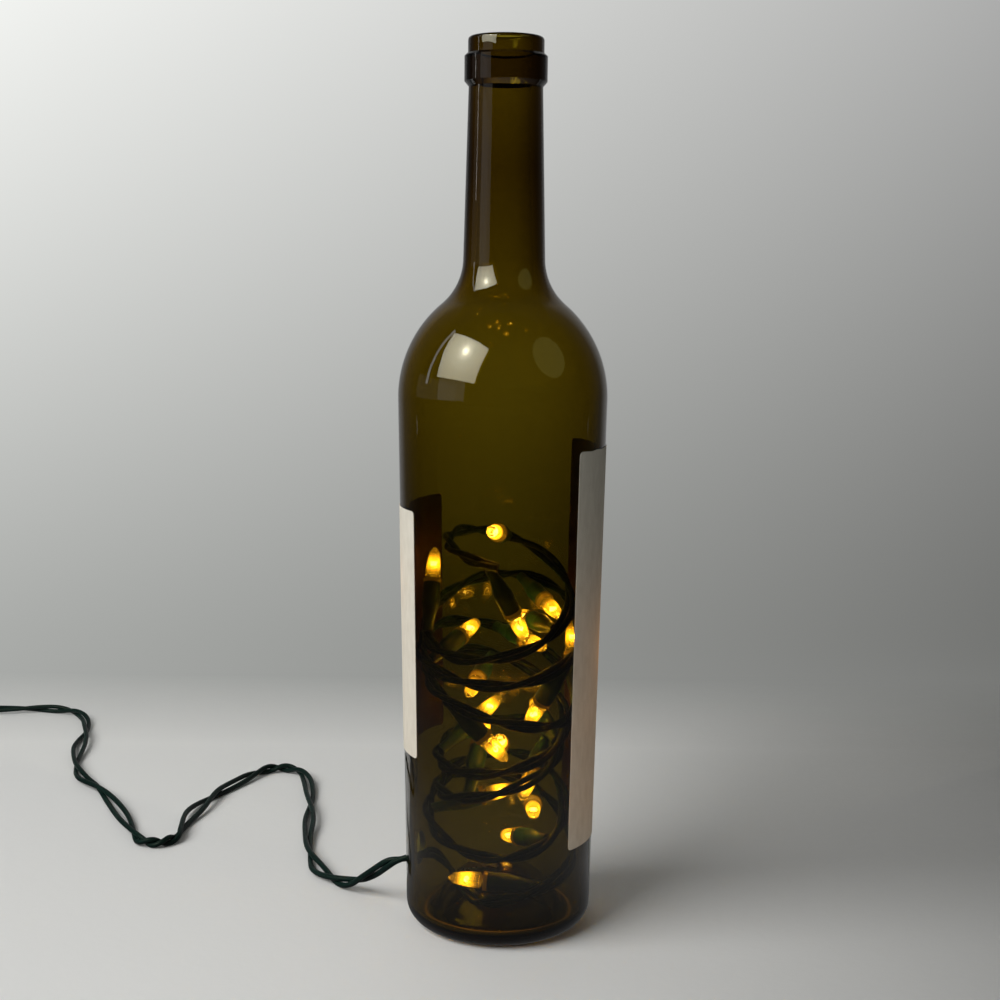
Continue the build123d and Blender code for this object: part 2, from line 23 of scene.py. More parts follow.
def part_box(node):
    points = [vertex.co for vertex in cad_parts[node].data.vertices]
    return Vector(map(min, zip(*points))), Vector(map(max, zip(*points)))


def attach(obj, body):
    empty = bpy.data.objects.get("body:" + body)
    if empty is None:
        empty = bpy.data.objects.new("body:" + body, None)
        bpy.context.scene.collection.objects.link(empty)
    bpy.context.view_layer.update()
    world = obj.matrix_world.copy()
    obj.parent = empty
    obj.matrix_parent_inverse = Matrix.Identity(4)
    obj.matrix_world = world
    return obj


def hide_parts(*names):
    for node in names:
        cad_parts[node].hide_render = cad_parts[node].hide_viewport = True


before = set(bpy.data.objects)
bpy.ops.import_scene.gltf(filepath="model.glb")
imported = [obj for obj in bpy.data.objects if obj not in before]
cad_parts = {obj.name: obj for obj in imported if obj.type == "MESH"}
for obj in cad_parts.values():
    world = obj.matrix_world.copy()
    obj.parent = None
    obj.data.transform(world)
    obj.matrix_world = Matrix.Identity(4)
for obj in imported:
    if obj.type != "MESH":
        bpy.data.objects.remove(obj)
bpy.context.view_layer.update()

LOG = logging.getLogger("bottle_lamp")
MM = 0.001
UP = Vector((0.0, 0.0, 1.0))
ORIGIN = Vector((0.0, 0.0, 0.0))
FULL_TURN = 2.0 * math.pi
MERGE = 1e-6
LAMP_BODY = "lamp"
# Stored glow colours: a painted lamp glow on the bottle's gutter and the labels, and the bulbs' own glow.
GLOW = "lamp_glow"
PANEL_AIM = Vector((0.0, 0.0, 0.2))
Colour = tuple[float, float, float, float]
Triple = tuple[float, float, float]
Span = tuple[float, float]


class Slot(Enum):
    """Names of material slots in the record, one for each kind of new piece."""

    GLASS = "bottle_glass"
    PAPER = "label_paper"
    WIRE = "wire_insulation"
    BULB = "bulb_glass"
    FILAMENT = "filament_wire"


def rgb(red: float, green: float, blue: float) -> Colour:
    """Gives an opaque linear colour."""
    return (red, green, blue, 1.0)


def bearing(azimuth: float, elevation: float = 0.0) -> Vector:
    """Gives the unit vector at an azimuth from +X and an elevation, both in degrees."""
    turn, rise = math.radians(azimuth), math.radians(elevation)
    return Vector((math.cos(turn) * math.cos(rise), math.sin(turn) * math.cos(rise), math.sin(rise)))


def stood(place: Vector, way: Vector) -> Matrix:
    """Gives the matrix that sets something at a place with its Z axis along a way."""
    return Matrix.Translation(place) @ way.to_track_quat("Z", "Y").to_matrix().to_4x4()


def eased(share: float) -> float:
    """Smooths a share of a way so that it starts and ends gently."""
    return share ** 2 * (3.0 - 2.0 * share)


class NodeSheet:
    """Adds nodes to one shader tree and joins them."""

    def __init__(self, tree: NodeTree) -> None:
        """Takes over an empty shader tree."""
        self.tree = tree

    def add(self, kind: str, values: dict[str | int, Any] | None = None, **settings: Any) -> Node:
        """Adds a shader node.

        Args:
            kind: Blender's name of the node type, without ShaderNode.
            values: Values for its inputs, or outputs to link to them.
            **settings: Values for its own properties.

        Returns:
            The new node.
        """
        node = self.tree.nodes.new(f"ShaderNode{kind}")
        for name, value in settings.items():
            setattr(node, name, value)
        self.feed(node, values or {})
        return node

    def feed(self, node: Node, values: dict[str | int, Any]) -> None:
        """Sets a node's inputs.

        Args:
            node: The node.
            values: Values for its inputs, or outputs to link to them.
        """
        for socket, value in values.items():
            if isinstance(value, NodeSocket):
                self.tree.links.new(value, node.inputs[socket])
            else:
                node.inputs[socket].default_value = value

    def cloud(self, given: Any, detail: float, roughness: float) -> NodeSocket:
        """Gives a noise at the Vector and Scale among some outputs."""
        values = {name: given[name] for name in ("Vector", "Scale")}
        return self.add("TexNoise", {**values, "Detail": detail, "Roughness": roughness}).outputs["Fac"]

    def spread(self, value: NodeSocket, span: Span, ends: tuple[Any, Any] = (0.0, 1.0)) -> NodeSocket:
        """Gives a value of one span as a value between two ends."""
        names = ("Value", "From Min", "From Max", "To Min", "To Max")
        return self.add("MapRange", dict(zip(names, (value, *span, *ends)))).outputs["Result"]

    def number(self, operation: str, first: NodeSocket, second: NodeSocket) -> NodeSocket:
        """Works out a number between none and one from two others."""
        return self.add("Math", {0: first, 1: second}, operation=operation, use_clamp=True).outputs["Value"]

    def mix(self, share: NodeSocket, first: Any, second: Any) -> NodeSocket:
        """Mixes two colours by a share."""
        return self.add("Mix", {0: share, 6: first, 7: second}, data_type="RGBA").outputs[2]

    def blend(self, share: NodeSocket, first: NodeSocket, second: NodeSocket) -> NodeSocket:
        """Mixes two shaders by a share."""
        return self.add("MixShader", {0: share, 1: first, 2: second}).outputs["Shader"]


class Effect:
    """Shader node groups that several finishes share, each built once."""

    @staticmethod
    def _open(name: str, inputs: dict[str, str], outputs: dict[str, str]) -> tuple[NodeSheet, Any, Node]:
        """Starts a group with its sockets.

        Args:
            name: Name of the group.
            inputs: Input names and socket types.
            outputs: Output names and socket types.

        Returns:
            The sheet, what the group is given and the node that takes what it puts out.
        """
        tree = bpy.data.node_groups.new(name, "ShaderNodeTree")
        for way, sockets in (("INPUT", inputs), ("OUTPUT", outputs)):
            for label, kind in sockets.items():
                tree.interface.new_socket(name=label, in_out=way, socket_type=f"NodeSocket{kind}")
        given = tree.nodes.new("NodeGroupInput")
        return NodeSheet(tree), given.outputs, tree.nodes.new("NodeGroupOutput")

    @staticmethod
    @cache
    def mottle(drift: Span = (0.36, 0.64)) -> NodeTree:
        """Builds the group that lets a colour drift between two tones.

        Args:
            drift: Noise values at which the one and the other tone are full.

        Returns:
            The group, with the mixed Color.
        """
        sheet, given, made = Effect._open(
            "mottle", {"Vector": "Vector", "Scale": "Float", "Tone": "Color", "Shade": "Color"},
            {"Color": "Color"})
        share = sheet.spread(sheet.cloud(given, detail=6.0, roughness=0.6), drift)
        sheet.feed(made, {"Color": sheet.mix(share, given["Tone"], given["Shade"])})
        return sheet.tree

    @staticmethod
    @cache
    def relief(drift: Span = (0.3, 0.7)) -> NodeTree:
        """Builds the group for a fine unevenness of gloss and height.

        Args:
            drift: Noise values at which the least and the greatest roughness are reached.

        Returns:
            The group, with a Roughness between two limits and a Height.
        """
        sheet, given, made = Effect._open(
            "relief", {"Vector": "Vector", "Scale": "Float", "Smooth": "Float", "Rough": "Float"},
            {"Roughness": "Float", "Height": "Float"})
        grain = sheet.cloud(given, detail=4.0, roughness=0.55)
        limits = (given["Smooth"], given["Rough"])
        sheet.feed(made, {"Roughness": sheet.spread(grain, drift, limits), "Height": grain})
        return sheet.tree


class Palette:
    """One material in the making: its sheet, its shader and the surface's coordinates."""

    def __init__(self, name: str, stretch: Triple = (1.0, 1.0, 1.0),
                 centre: Triple = (0.0, 0.0, 0.0)) -> None:
        """Starts a material.

        Args:
            name: Name of the material.
            stretch: Scale of the pattern along each axis.
            centre: Where the pattern starts from.
        """
        self.material: Material = bpy.data.materials.new(name)
        self.material.use_nodes = True
        self.material.node_tree.nodes.clear()
        self.sheet = NodeSheet(self.material.node_tree)
        self.shader = self.sheet.add("BsdfPrincipled")
        self.output = self.sheet.add("OutputMaterial", {"Surface": self.shader.outputs["BSDF"]})
        place = self.sheet.add("TexCoord").outputs["Object"]
        shift = tuple(-start * scale for start, scale in zip(centre, stretch))
        mapping = self.sheet.add("Mapping", {"Vector": place, "Location": shift, "Scale": stretch})
        self.place: NodeSocket = mapping.outputs["Vector"]

    def group(self, tree: NodeTree, **values: Any) -> Any:
        """Places a shared group, fed with values, on the surface's coordinates and gives its outputs."""
        return self.sheet.add("Group", {"Vector": self.place, **values}, node_tree=tree).outputs

    def set(self, **values: Any) -> None:
        """Sets or links the shader's own inputs, named with underscores for spaces."""
        self.sheet.feed(self.shader, {name.replace("_", " "): value for name, value in values.items()})

    def tones(self, tone: Colour, shade: Colour, scale: float) -> None:
        """Colours the surface by two tones that drift into each other so many times in a metre."""
        drift = self.group(Effect.mottle(), Scale=scale, Tone=tone, Shade=shade)
        self.set(Base_Color=drift["Color"])

    def gloss(self, scale: float, smooth: float, rough: float, depth: float) -> None:
        """Gives the surface an uneven gloss and a fine relief.

        Args:
            scale: Grains in a metre.
            smooth: Least roughness.
            rough: Greatest roughness.
            depth: Depth of the relief in metres.
        """
        grain = self.group(Effect.relief(), Scale=scale, Smooth=smooth, Rough=rough)
        bump = self.sheet.add("Bump", {"Strength": 1.0, "Distance": depth, "Height": grain["Height"]})
        self.set(Roughness=grain["Roughness"], Normal=bump.outputs["Normal"])

    def lit(self) -> None:
        """Lets the surface glow by the colours that are stored on its mesh."""
        glow = self.sheet.add("Attribute", attribute_name=GLOW)
        self.set(Emission_Color=glow.outputs["Color"], Emission_Strength=1.0)

    def seen_only(self) -> None:
        """Keeps the surface's own light from being counted among the lights."""
        self.material.cycles.emission_sampling = "NONE"


@dataclass(frozen=True)
class SurfaceFinish:
    """Opaque surface with a fine skin and drifting tones, such as moulded plastic.

    Drifts and grains are counted in a metre, and the depth of the skin is in metres.
    """

    name: str
    tone: Colour
    shade: Colour
    drifts: float = 90.0
    grains: float = 900.0
    smooth: float = 0.28
    rough: float = 0.45
    depth: float = 0.00004
    sheen: float = 0.5
    metal: float = 0.0
    stretch: Triple = (1.0, 1.0, 1.0)
    glow: Colour = rgb(1.0, 1.0, 1.0)
    glow_strength: float = 0.0
    lit: bool = False

    @cache
    def material(self) -> Material:
        """Builds the material once."""
        palette = Palette(self.name, self.stretch)
        palette.tones(self.tone, self.shade, self.drifts)
        palette.gloss(self.grains, self.smooth, self.rough, self.depth)
        palette.set(Metallic=self.metal, Specular_IOR_Level=self.sheen, Emission_Color=self.glow,
                    Emission_Strength=self.glow_strength)
        if self.lit:
            palette.lit()
        return palette.material


@dataclass(frozen=True)
class GlassFinish:
    """Clear or tinted glass, whose tint comes from the way of light through it."""

    name: str
    tint: Colour = rgb(1.0, 1.0, 1.0)
    density: float = 0.0
    refraction: float = 1.52
    smooth: float = 0.0
    rough: float = 0.02
    waves: float = 28.0
    depth: float = 0.00003

    @cache
    def material(self) -> Material:
        """Builds the material once."""
        palette = Palette(self.name)
        palette.set(Base_Color=rgb(1.0, 1.0, 1.0), IOR=self.refraction, Transmission_Weight=1.0)
        palette.gloss(self.waves, self.smooth, self.rough, self.depth)
        # Glows by the colours stored on the mesh: the painted lamp glow in the bottle's gutter, or a bulb's
        # glow.
        palette.lit()
        if self.density > 0.0:
            volume = palette.sheet.add("VolumeAbsorption", {"Color": self.tint, "Density": self.density})
            palette.sheet.feed(palette.output, {"Volume": volume.outputs["Volume"]})
        return palette.material


@dataclass(frozen=True)
class PaperFinish(SurfaceFinish):
    """Uncoated label paper with fibres, with a faint painted glow where lamps lie behind it."""

    drifts: float = 420.0
    grains: float = 1900.0
    smooth: float = 0.72
    rough: float = 0.92
    depth: float = 0.00005
    sheen: float = 0.3
    stretch: Triple = (1.0, 1.0, 0.35)
    # The paper emits a painted glow of the lamps, stored on the label's mesh.
    lit: bool = True


@dataclass(frozen=True)
class MetalFinish(SurfaceFinish):
    """Bright drawn or stamped metal with fine scratches along one axis."""

    drifts: float = 260.0
    grains: float = 2400.0
    smooth: float = 0.16
    rough: float = 0.36
    depth: float = 0.00002
    metal: float = 1.0
    stretch: Triple = (1.0, 0.05, 1.0)


@dataclass(frozen=True)
class StageFinish:
    """Plain matt floor and wall, seen from their front only. Places are in metres.

    The floor is darker towards its right, a painted shade. The wall is lighter towards its top and its left,
    which is painted light. It shows its tones to the eye and in glass and gloss, and lights nothing by
    them. Seen through glass, both are dim towards the floor, a painted shade.
    """

    name: str
    floor: tuple[Colour, Colour]
    wall_left: tuple[Colour, Colour]
    wall_right: tuple[Colour, Colour]
    wall_starts: Span = (0.22, 0.36)
    painted_light_wall_rises: Span = (0.0, 0.48)
    painted_light_wall_sides: Span = (-0.40, 0.40)
    painted_shade_floor_sides: Span = (0.03, 0.42)
    painted_shade_share: float = 0.55
    painted_shade_height: float = 0.13

    @cache
    def material(self) -> Material:
        """Builds the material once, clear from behind so that no view is blocked."""
        palette = Palette(self.name)
        palette.gloss(scale=220.0, smooth=0.7, rough=0.85, depth=0.0001)
        palette.seen_only()
        sheet = palette.sheet
        place = sheet.add("SeparateXYZ", {"Vector": palette.place}).outputs
        # Painted shade: the floor's colour darkens towards its right.
        palette.set(Base_Color=sheet.mix(sheet.spread(place["X"], self.painted_shade_floor_sides), *self.floor))
        # Painted light: the wall's tones lighten towards its top and its left.
        rise = sheet.spread(place["Z"], self.painted_light_wall_rises)
        sides = (sheet.mix(rise, *tones) for tones in (self.wall_left, self.wall_right))
        wall = sheet.mix(sheet.spread(place["X"], self.painted_light_wall_sides), *sides)
        pale = sheet.add("Emission", {"Color": wall}).outputs["Emission"]
        ray = sheet.add("LightPath").outputs
        through = ray["Is Transmission Ray"]
        seen = sheet.number("ADD", ray["Is Camera Ray"], ray["Is Glossy Ray"])
        seen = sheet.number("ADD", seen, through)
        shown = sheet.number("MULTIPLY", sheet.spread(place["Y"], self.wall_starts), seen)
        front = sheet.blend(shown, palette.shader.outputs["BSDF"], pale)
        # Painted shade: seen through glass, floor and wall dim towards the floor.
        fade = sheet.spread(place["Z"], (0.0, self.painted_shade_height), (self.painted_shade_share, 0.0))
        dark = sheet.add("Emission", {"Strength": 0.0}).outputs["Emission"]
        front = sheet.blend(sheet.number("MULTIPLY", fade, through), front, dark)
        behind = sheet.add("NewGeometry").outputs["Backfacing"]
        clear = sheet.add("BsdfTransparent").outputs["BSDF"]
        sheet.feed(palette.output, {"Surface": sheet.blend(behind, front, clear)})
        return palette.material


@dataclass(frozen=True)
class CardFinish:
    """Card whose tone changes with the distance, in metres, from none at its centre to its last."""

    name: str
    tones: tuple[Span, ...]
    tint: Triple = (1.0, 1.0, 1.0)
    centre: Triple = (0.0, 0.0, 0.0)
    axes: Triple = (1.0, 1.0, 1.0)

    @cache
    def material(self) -> Material:
        """Builds the material once."""
        palette = Palette(self.name, self.axes, self.centre)
        reach = max(distance for distance, _ in self.tones)
        level = max(tone for _, tone in self.tones)
        sheet = palette.sheet
        away = sheet.add("VectorMath", {0: palette.place}, operation="LENGTH").outputs["Value"]
        ramp = sheet.add("ValToRGB", {"Fac": sheet.spread(away, (0.0, reach))})
        stops = ramp.color_ramp.elements
        first, *middle, last = (
            (distance / reach, rgb(*(tone / level * channel for channel in self.tint)))
            for distance, tone in self.tones
        )
        stops[0].color = first[1]
        stops[-1].color = last[1]
        for position, colour in middle:
            stops.new(position).color = colour
        palette.set(Base_Color=rgb(0.0, 0.0, 0.0), Specular_IOR_Level=0.0,
                    Emission_Color=ramp.outputs["Color"], Emission_Strength=level)
        palette.seen_only()
        return palette.material


BOTTLE_GLASS = GlassFinish("olive_glass", tint=rgb(0.678, 0.610, 0.0), density=1000.0)
GROUND_GLASS = GlassFinish("ground_glass", tint=rgb(0.678, 0.610, 0.0), density=1000.0,
                           smooth=0.35, rough=0.6, waves=2500.0)
BULB_GLASS = GlassFinish("lit_bulb_glass", waves=300.0)
FUSE_GLASS = GlassFinish("fuse_glass", waves=300.0)
LABEL_PAPER = PaperFinish("label_paper", rgb(0.615, 0.585, 0.505), rgb(0.55, 0.52, 0.445))
WIRE = SurfaceFinish("green_insulation", rgb(0.0022, 0.0105, 0.0087), rgb(0.0015, 0.0075, 0.0062),
                     drifts=140.0, smooth=0.42, rough=0.58, sheen=0.14)
LAMP_PLASTIC = SurfaceFinish("green_lamp_plastic", rgb(0.006, 0.034, 0.020), rgb(0.004, 0.024, 0.015))
# The bases' amber glow is painted light from their coils.
BASE_PLASTIC = SurfaceFinish("clear_base_plastic", rgb(0.22, 0.15, 0.05), rgb(0.17, 0.11, 0.035),
                             smooth=0.12, rough=0.25, glow=rgb(1.0, 0.50, 0.08), glow_strength=0.10)
PLUG_PLASTIC = SurfaceFinish("green_plug_plastic", rgb(0.008, 0.038, 0.030), rgb(0.006, 0.028, 0.022),
                             grains=1600.0, smooth=0.35, rough=0.55, depth=0.00006)
TIE_PLASTIC = SurfaceFinish("black_tie_plastic", rgb(0.012, 0.012, 0.012), rgb(0.008, 0.008, 0.008))
FILAMENT = MetalFinish("hot_filament", rgb(0.75, 0.70, 0.62), rgb(0.60, 0.55, 0.48),
                       glow=rgb(1.0, 0.66, 0.24), glow_strength=260.0)
POST_WIRE = MetalFinish("drawn_post_wire", rgb(0.60, 0.56, 0.50), rgb(0.45, 0.42, 0.38))
BRASS = MetalFinish("stamped_brass", rgb(0.60, 0.45, 0.17), rgb(0.50, 0.36, 0.13))
# Floor darker to the right and wall lighter to the top and left: painted light and shade.
STAGE = StageFinish("pale_stage", (rgb(0.80, 0.80, 0.78), rgb(0.13, 0.13, 0.127)),
                    wall_left=(rgb(0.425, 0.435, 0.42), rgb(0.93, 0.94, 0.915)),
                    wall_right=(rgb(0.15, 0.152, 0.145), rgb(0.42, 0.422, 0.418)))
# Dark near the bottle's foot: a painted shade of the floor round the base, which only reflections show.
FLOOR_CARD = CardFinish("floor_card", ((0.0, 0.10), (0.05, 0.11), (0.085, 0.22), (0.13, 0.19),
                                       (0.20, 0.11), (0.45, 0.02), (0.60, 0.008)))
SIDE_CARD = CardFinish("side_card", ((0.0, 0.01), (0.20, 0.02), (0.30, 0.045), (0.37, 0.06),
                                     (0.445, 0.21), (0.517, 0.27), (0.55, 0.34)), axes=(0.0, 1.0, 0.0))
SHADE_CARD = CardFinish("shade_card", ((0.0, 0.02), (1.0, 0.02)))
WINDOW_GLARE = CardFinish("window_glare", ((0.0, 30.0), (0.05, 24.0), (0.11, 12.0), (0.22, 7.6),
                                           (0.45, 5.6), (0.70, 4.4)),
                          tint=(1.0, 0.97, 0.76), centre=(-0.723, -0.545, 0.987))


def add_object(name: str, data: Any) -> Object:
    """Adds an object of some data to the scene, at the origin."""
    item = bpy.data.objects.new(name, data)
    bpy.context.scene.collection.objects.link(item)
    return item


def add_piece(name: str, mesh: Mesh, *materials: Material) -> Object:
    """Adds a mesh to the scene as an object at the origin.

    Args:
        name: Name of the piece.
        mesh: Its mesh, in metres in the shared frame.
        *materials: Its materials in order.

    Returns:
        The new object.
    """
    for material in materials:
        mesh.materials.append(material)
    return add_object(name, mesh)


def settle(piece: Object, slot: Slot, *nodes: str) -> Object:
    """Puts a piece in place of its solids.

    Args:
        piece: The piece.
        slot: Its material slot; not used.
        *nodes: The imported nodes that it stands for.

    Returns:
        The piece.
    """
    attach(piece, LAMP_BODY)
    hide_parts(*nodes)
    return piece


def store_glow(mesh: Mesh, glow: Colour, amount: Callable[[Vector], float]) -> None:
    """Stores the colour that each point of a mesh glows with.

    Args:
        mesh: The mesh.
        glow: Its colour at full strength.
        amount: Gives the strength at a point.
    """
    layer = mesh.color_attributes.new(GLOW, "FLOAT_COLOR", "POINT")
    for vert, value in zip(mesh.vertices, layer.data):
        strength = amount(vert.co)
        value.color = [channel * strength for channel in glow]


def to_mesh(form: BMesh, name: str, sharp_angle: float = 40.0) -> Mesh:
    """Writes a form to a mesh with smooth faces and sharp edges, and frees it.

    Args:
        form: The finished bmesh.
        name: Name of the mesh.
        sharp_angle: Angle in degrees past which an edge is sharp.

    Returns:
        The mesh.
    """
    mesh = bpy.data.meshes.new(name)
    form.to_mesh(mesh)
    form.free()
    smooth(mesh, sharp_angle)
    return mesh


def smooth(mesh: Mesh, sharp_angle: float) -> None:
    """Shades a mesh smooth, apart from edges sharper than an angle in degrees."""
    mesh.polygons.foreach_set("use_smooth", [True] * len(mesh.polygons))
    mesh.set_sharp_from_angle(angle=math.radians(sharp_angle))


def evaluated(piece: Object) -> Mesh:
    """Gives a new mesh of an object with its modifiers or its curve worked out."""
    return bpy.data.meshes.new_from_object(piece.evaluated_get(bpy.context.evaluated_depsgraph_get()))


def curve_mesh(name: str, kind: str, wires: list[list[Vector]], **settings: Any) -> Mesh:
    """Makes the mesh of a curve.

    Args:
        name: Name of the mesh.
        kind: Blender's name of the type of its splines.
        wires: Points of each spline in metres.
        **settings: Values for the curve's own properties.

    Returns:
        The mesh.
    """
    curve = bpy.data.curves.new(name, "CURVE")
    curve.dimensions = "3D"
    for setting, value in settings.items():
        setattr(curve, setting, value)
    for wire in wires:
        spline = curve.splines.new(kind)
        spline.points.add(len(wire) - 1)
        for point, place in zip(spline.points, wire):
            point.co = (*place, 1.0)
        if kind == "NURBS":
            spline.order_u = 3
            spline.use_endpoint_u = True
    carrier = add_object(name, curve)
    mesh = evaluated(carrier)
    bpy.data.objects.remove(carrier)
    mesh.name = name
    mesh.materials.clear()
    return mesh


def merge_and_face(form: BMesh) -> None:
    """Merges a form's doubles and points its faces outward."""
    bmesh.ops.remove_doubles(form, verts=form.verts[:], dist=MERGE)
    bmesh.ops.recalc_face_normals(form, faces=form.faces[:])


class Pen:
    """Draws a profile in the XZ plane as lines and arcs, ready to be spun or extruded."""

    def __init__(self, start: Vector) -> None:
        """Starts a profile at a point."""
        self.form: BMesh = bmesh.new()
        self.tip: BMVert = bmesh.ops.create_vert(self.form, co=start)["vert"][0]

    def line(self, *ends: Vector) -> None:
        """Draws straight lines.

        Args:
            *ends: Points that the lines go to, in order.
        """
        for end in ends:
            grown = bmesh.ops.extrude_vert_indiv(self.form, verts=[self.tip])
            self.tip = grown["verts"][0]
            bmesh.ops.translate(self.form, verts=[self.tip], vec=end - self.tip.co)

    def arc(self, centre: Vector, end: Vector, steps: int) -> None:
        """Draws the shorter arc about a centre.

        Args:
            centre: Centre of the arc.
            end: Point that gives where it ends.
            steps: Number of chords.
        """
        start = self.tip.co - centre
        finish = end - centre
        sweep = math.atan2(finish.x, finish.z) - math.atan2(start.x, start.z)
        sweep = (sweep + math.pi) % FULL_TURN - math.pi
        spun = bmesh.ops.spin(self.form, geom=[self.tip], cent=centre, axis=(0.0, 1.0, 0.0),
                              angle=sweep, steps=steps)
        self.tip = [item for item in spun["geom_last"] if isinstance(item, BMVert)][0]

    def turned(self, segments: int) -> BMesh:
        """Spins the profile round the Z axis.

        Args:
            segments: Segments of the full turn.

        Returns:
            The closed form.
        """
        bmesh.ops.spin(self.form, geom=self.form.verts[:] + self.form.edges[:], cent=ORIGIN, axis=UP,
                       angle=FULL_TURN, steps=segments, use_merge=True)
        merge_and_face(self.form)
        return self.form


def flat(radius: float, height: float) -> Vector:
    """Gives a point of a turned profile, from millimetres."""
    return Vector((radius, 0.0, height)) * MM


def outward(way: Vector) -> Vector:
    """Gives the direction at the right of a way in a profile, which is outward from one that rises."""
    return Vector((way.z, 0.0, -way.x))


def further_point(start: Vector, way: Vector, centre: Vector, reach: float) -> Vector:
    """Gives the further of the two points, of a line from a start along a way, at a reach from a centre."""
    foot = start + way * (centre - start).dot(way)
    return foot + way * math.sqrt(reach ** 2 - (foot - centre).length_squared)


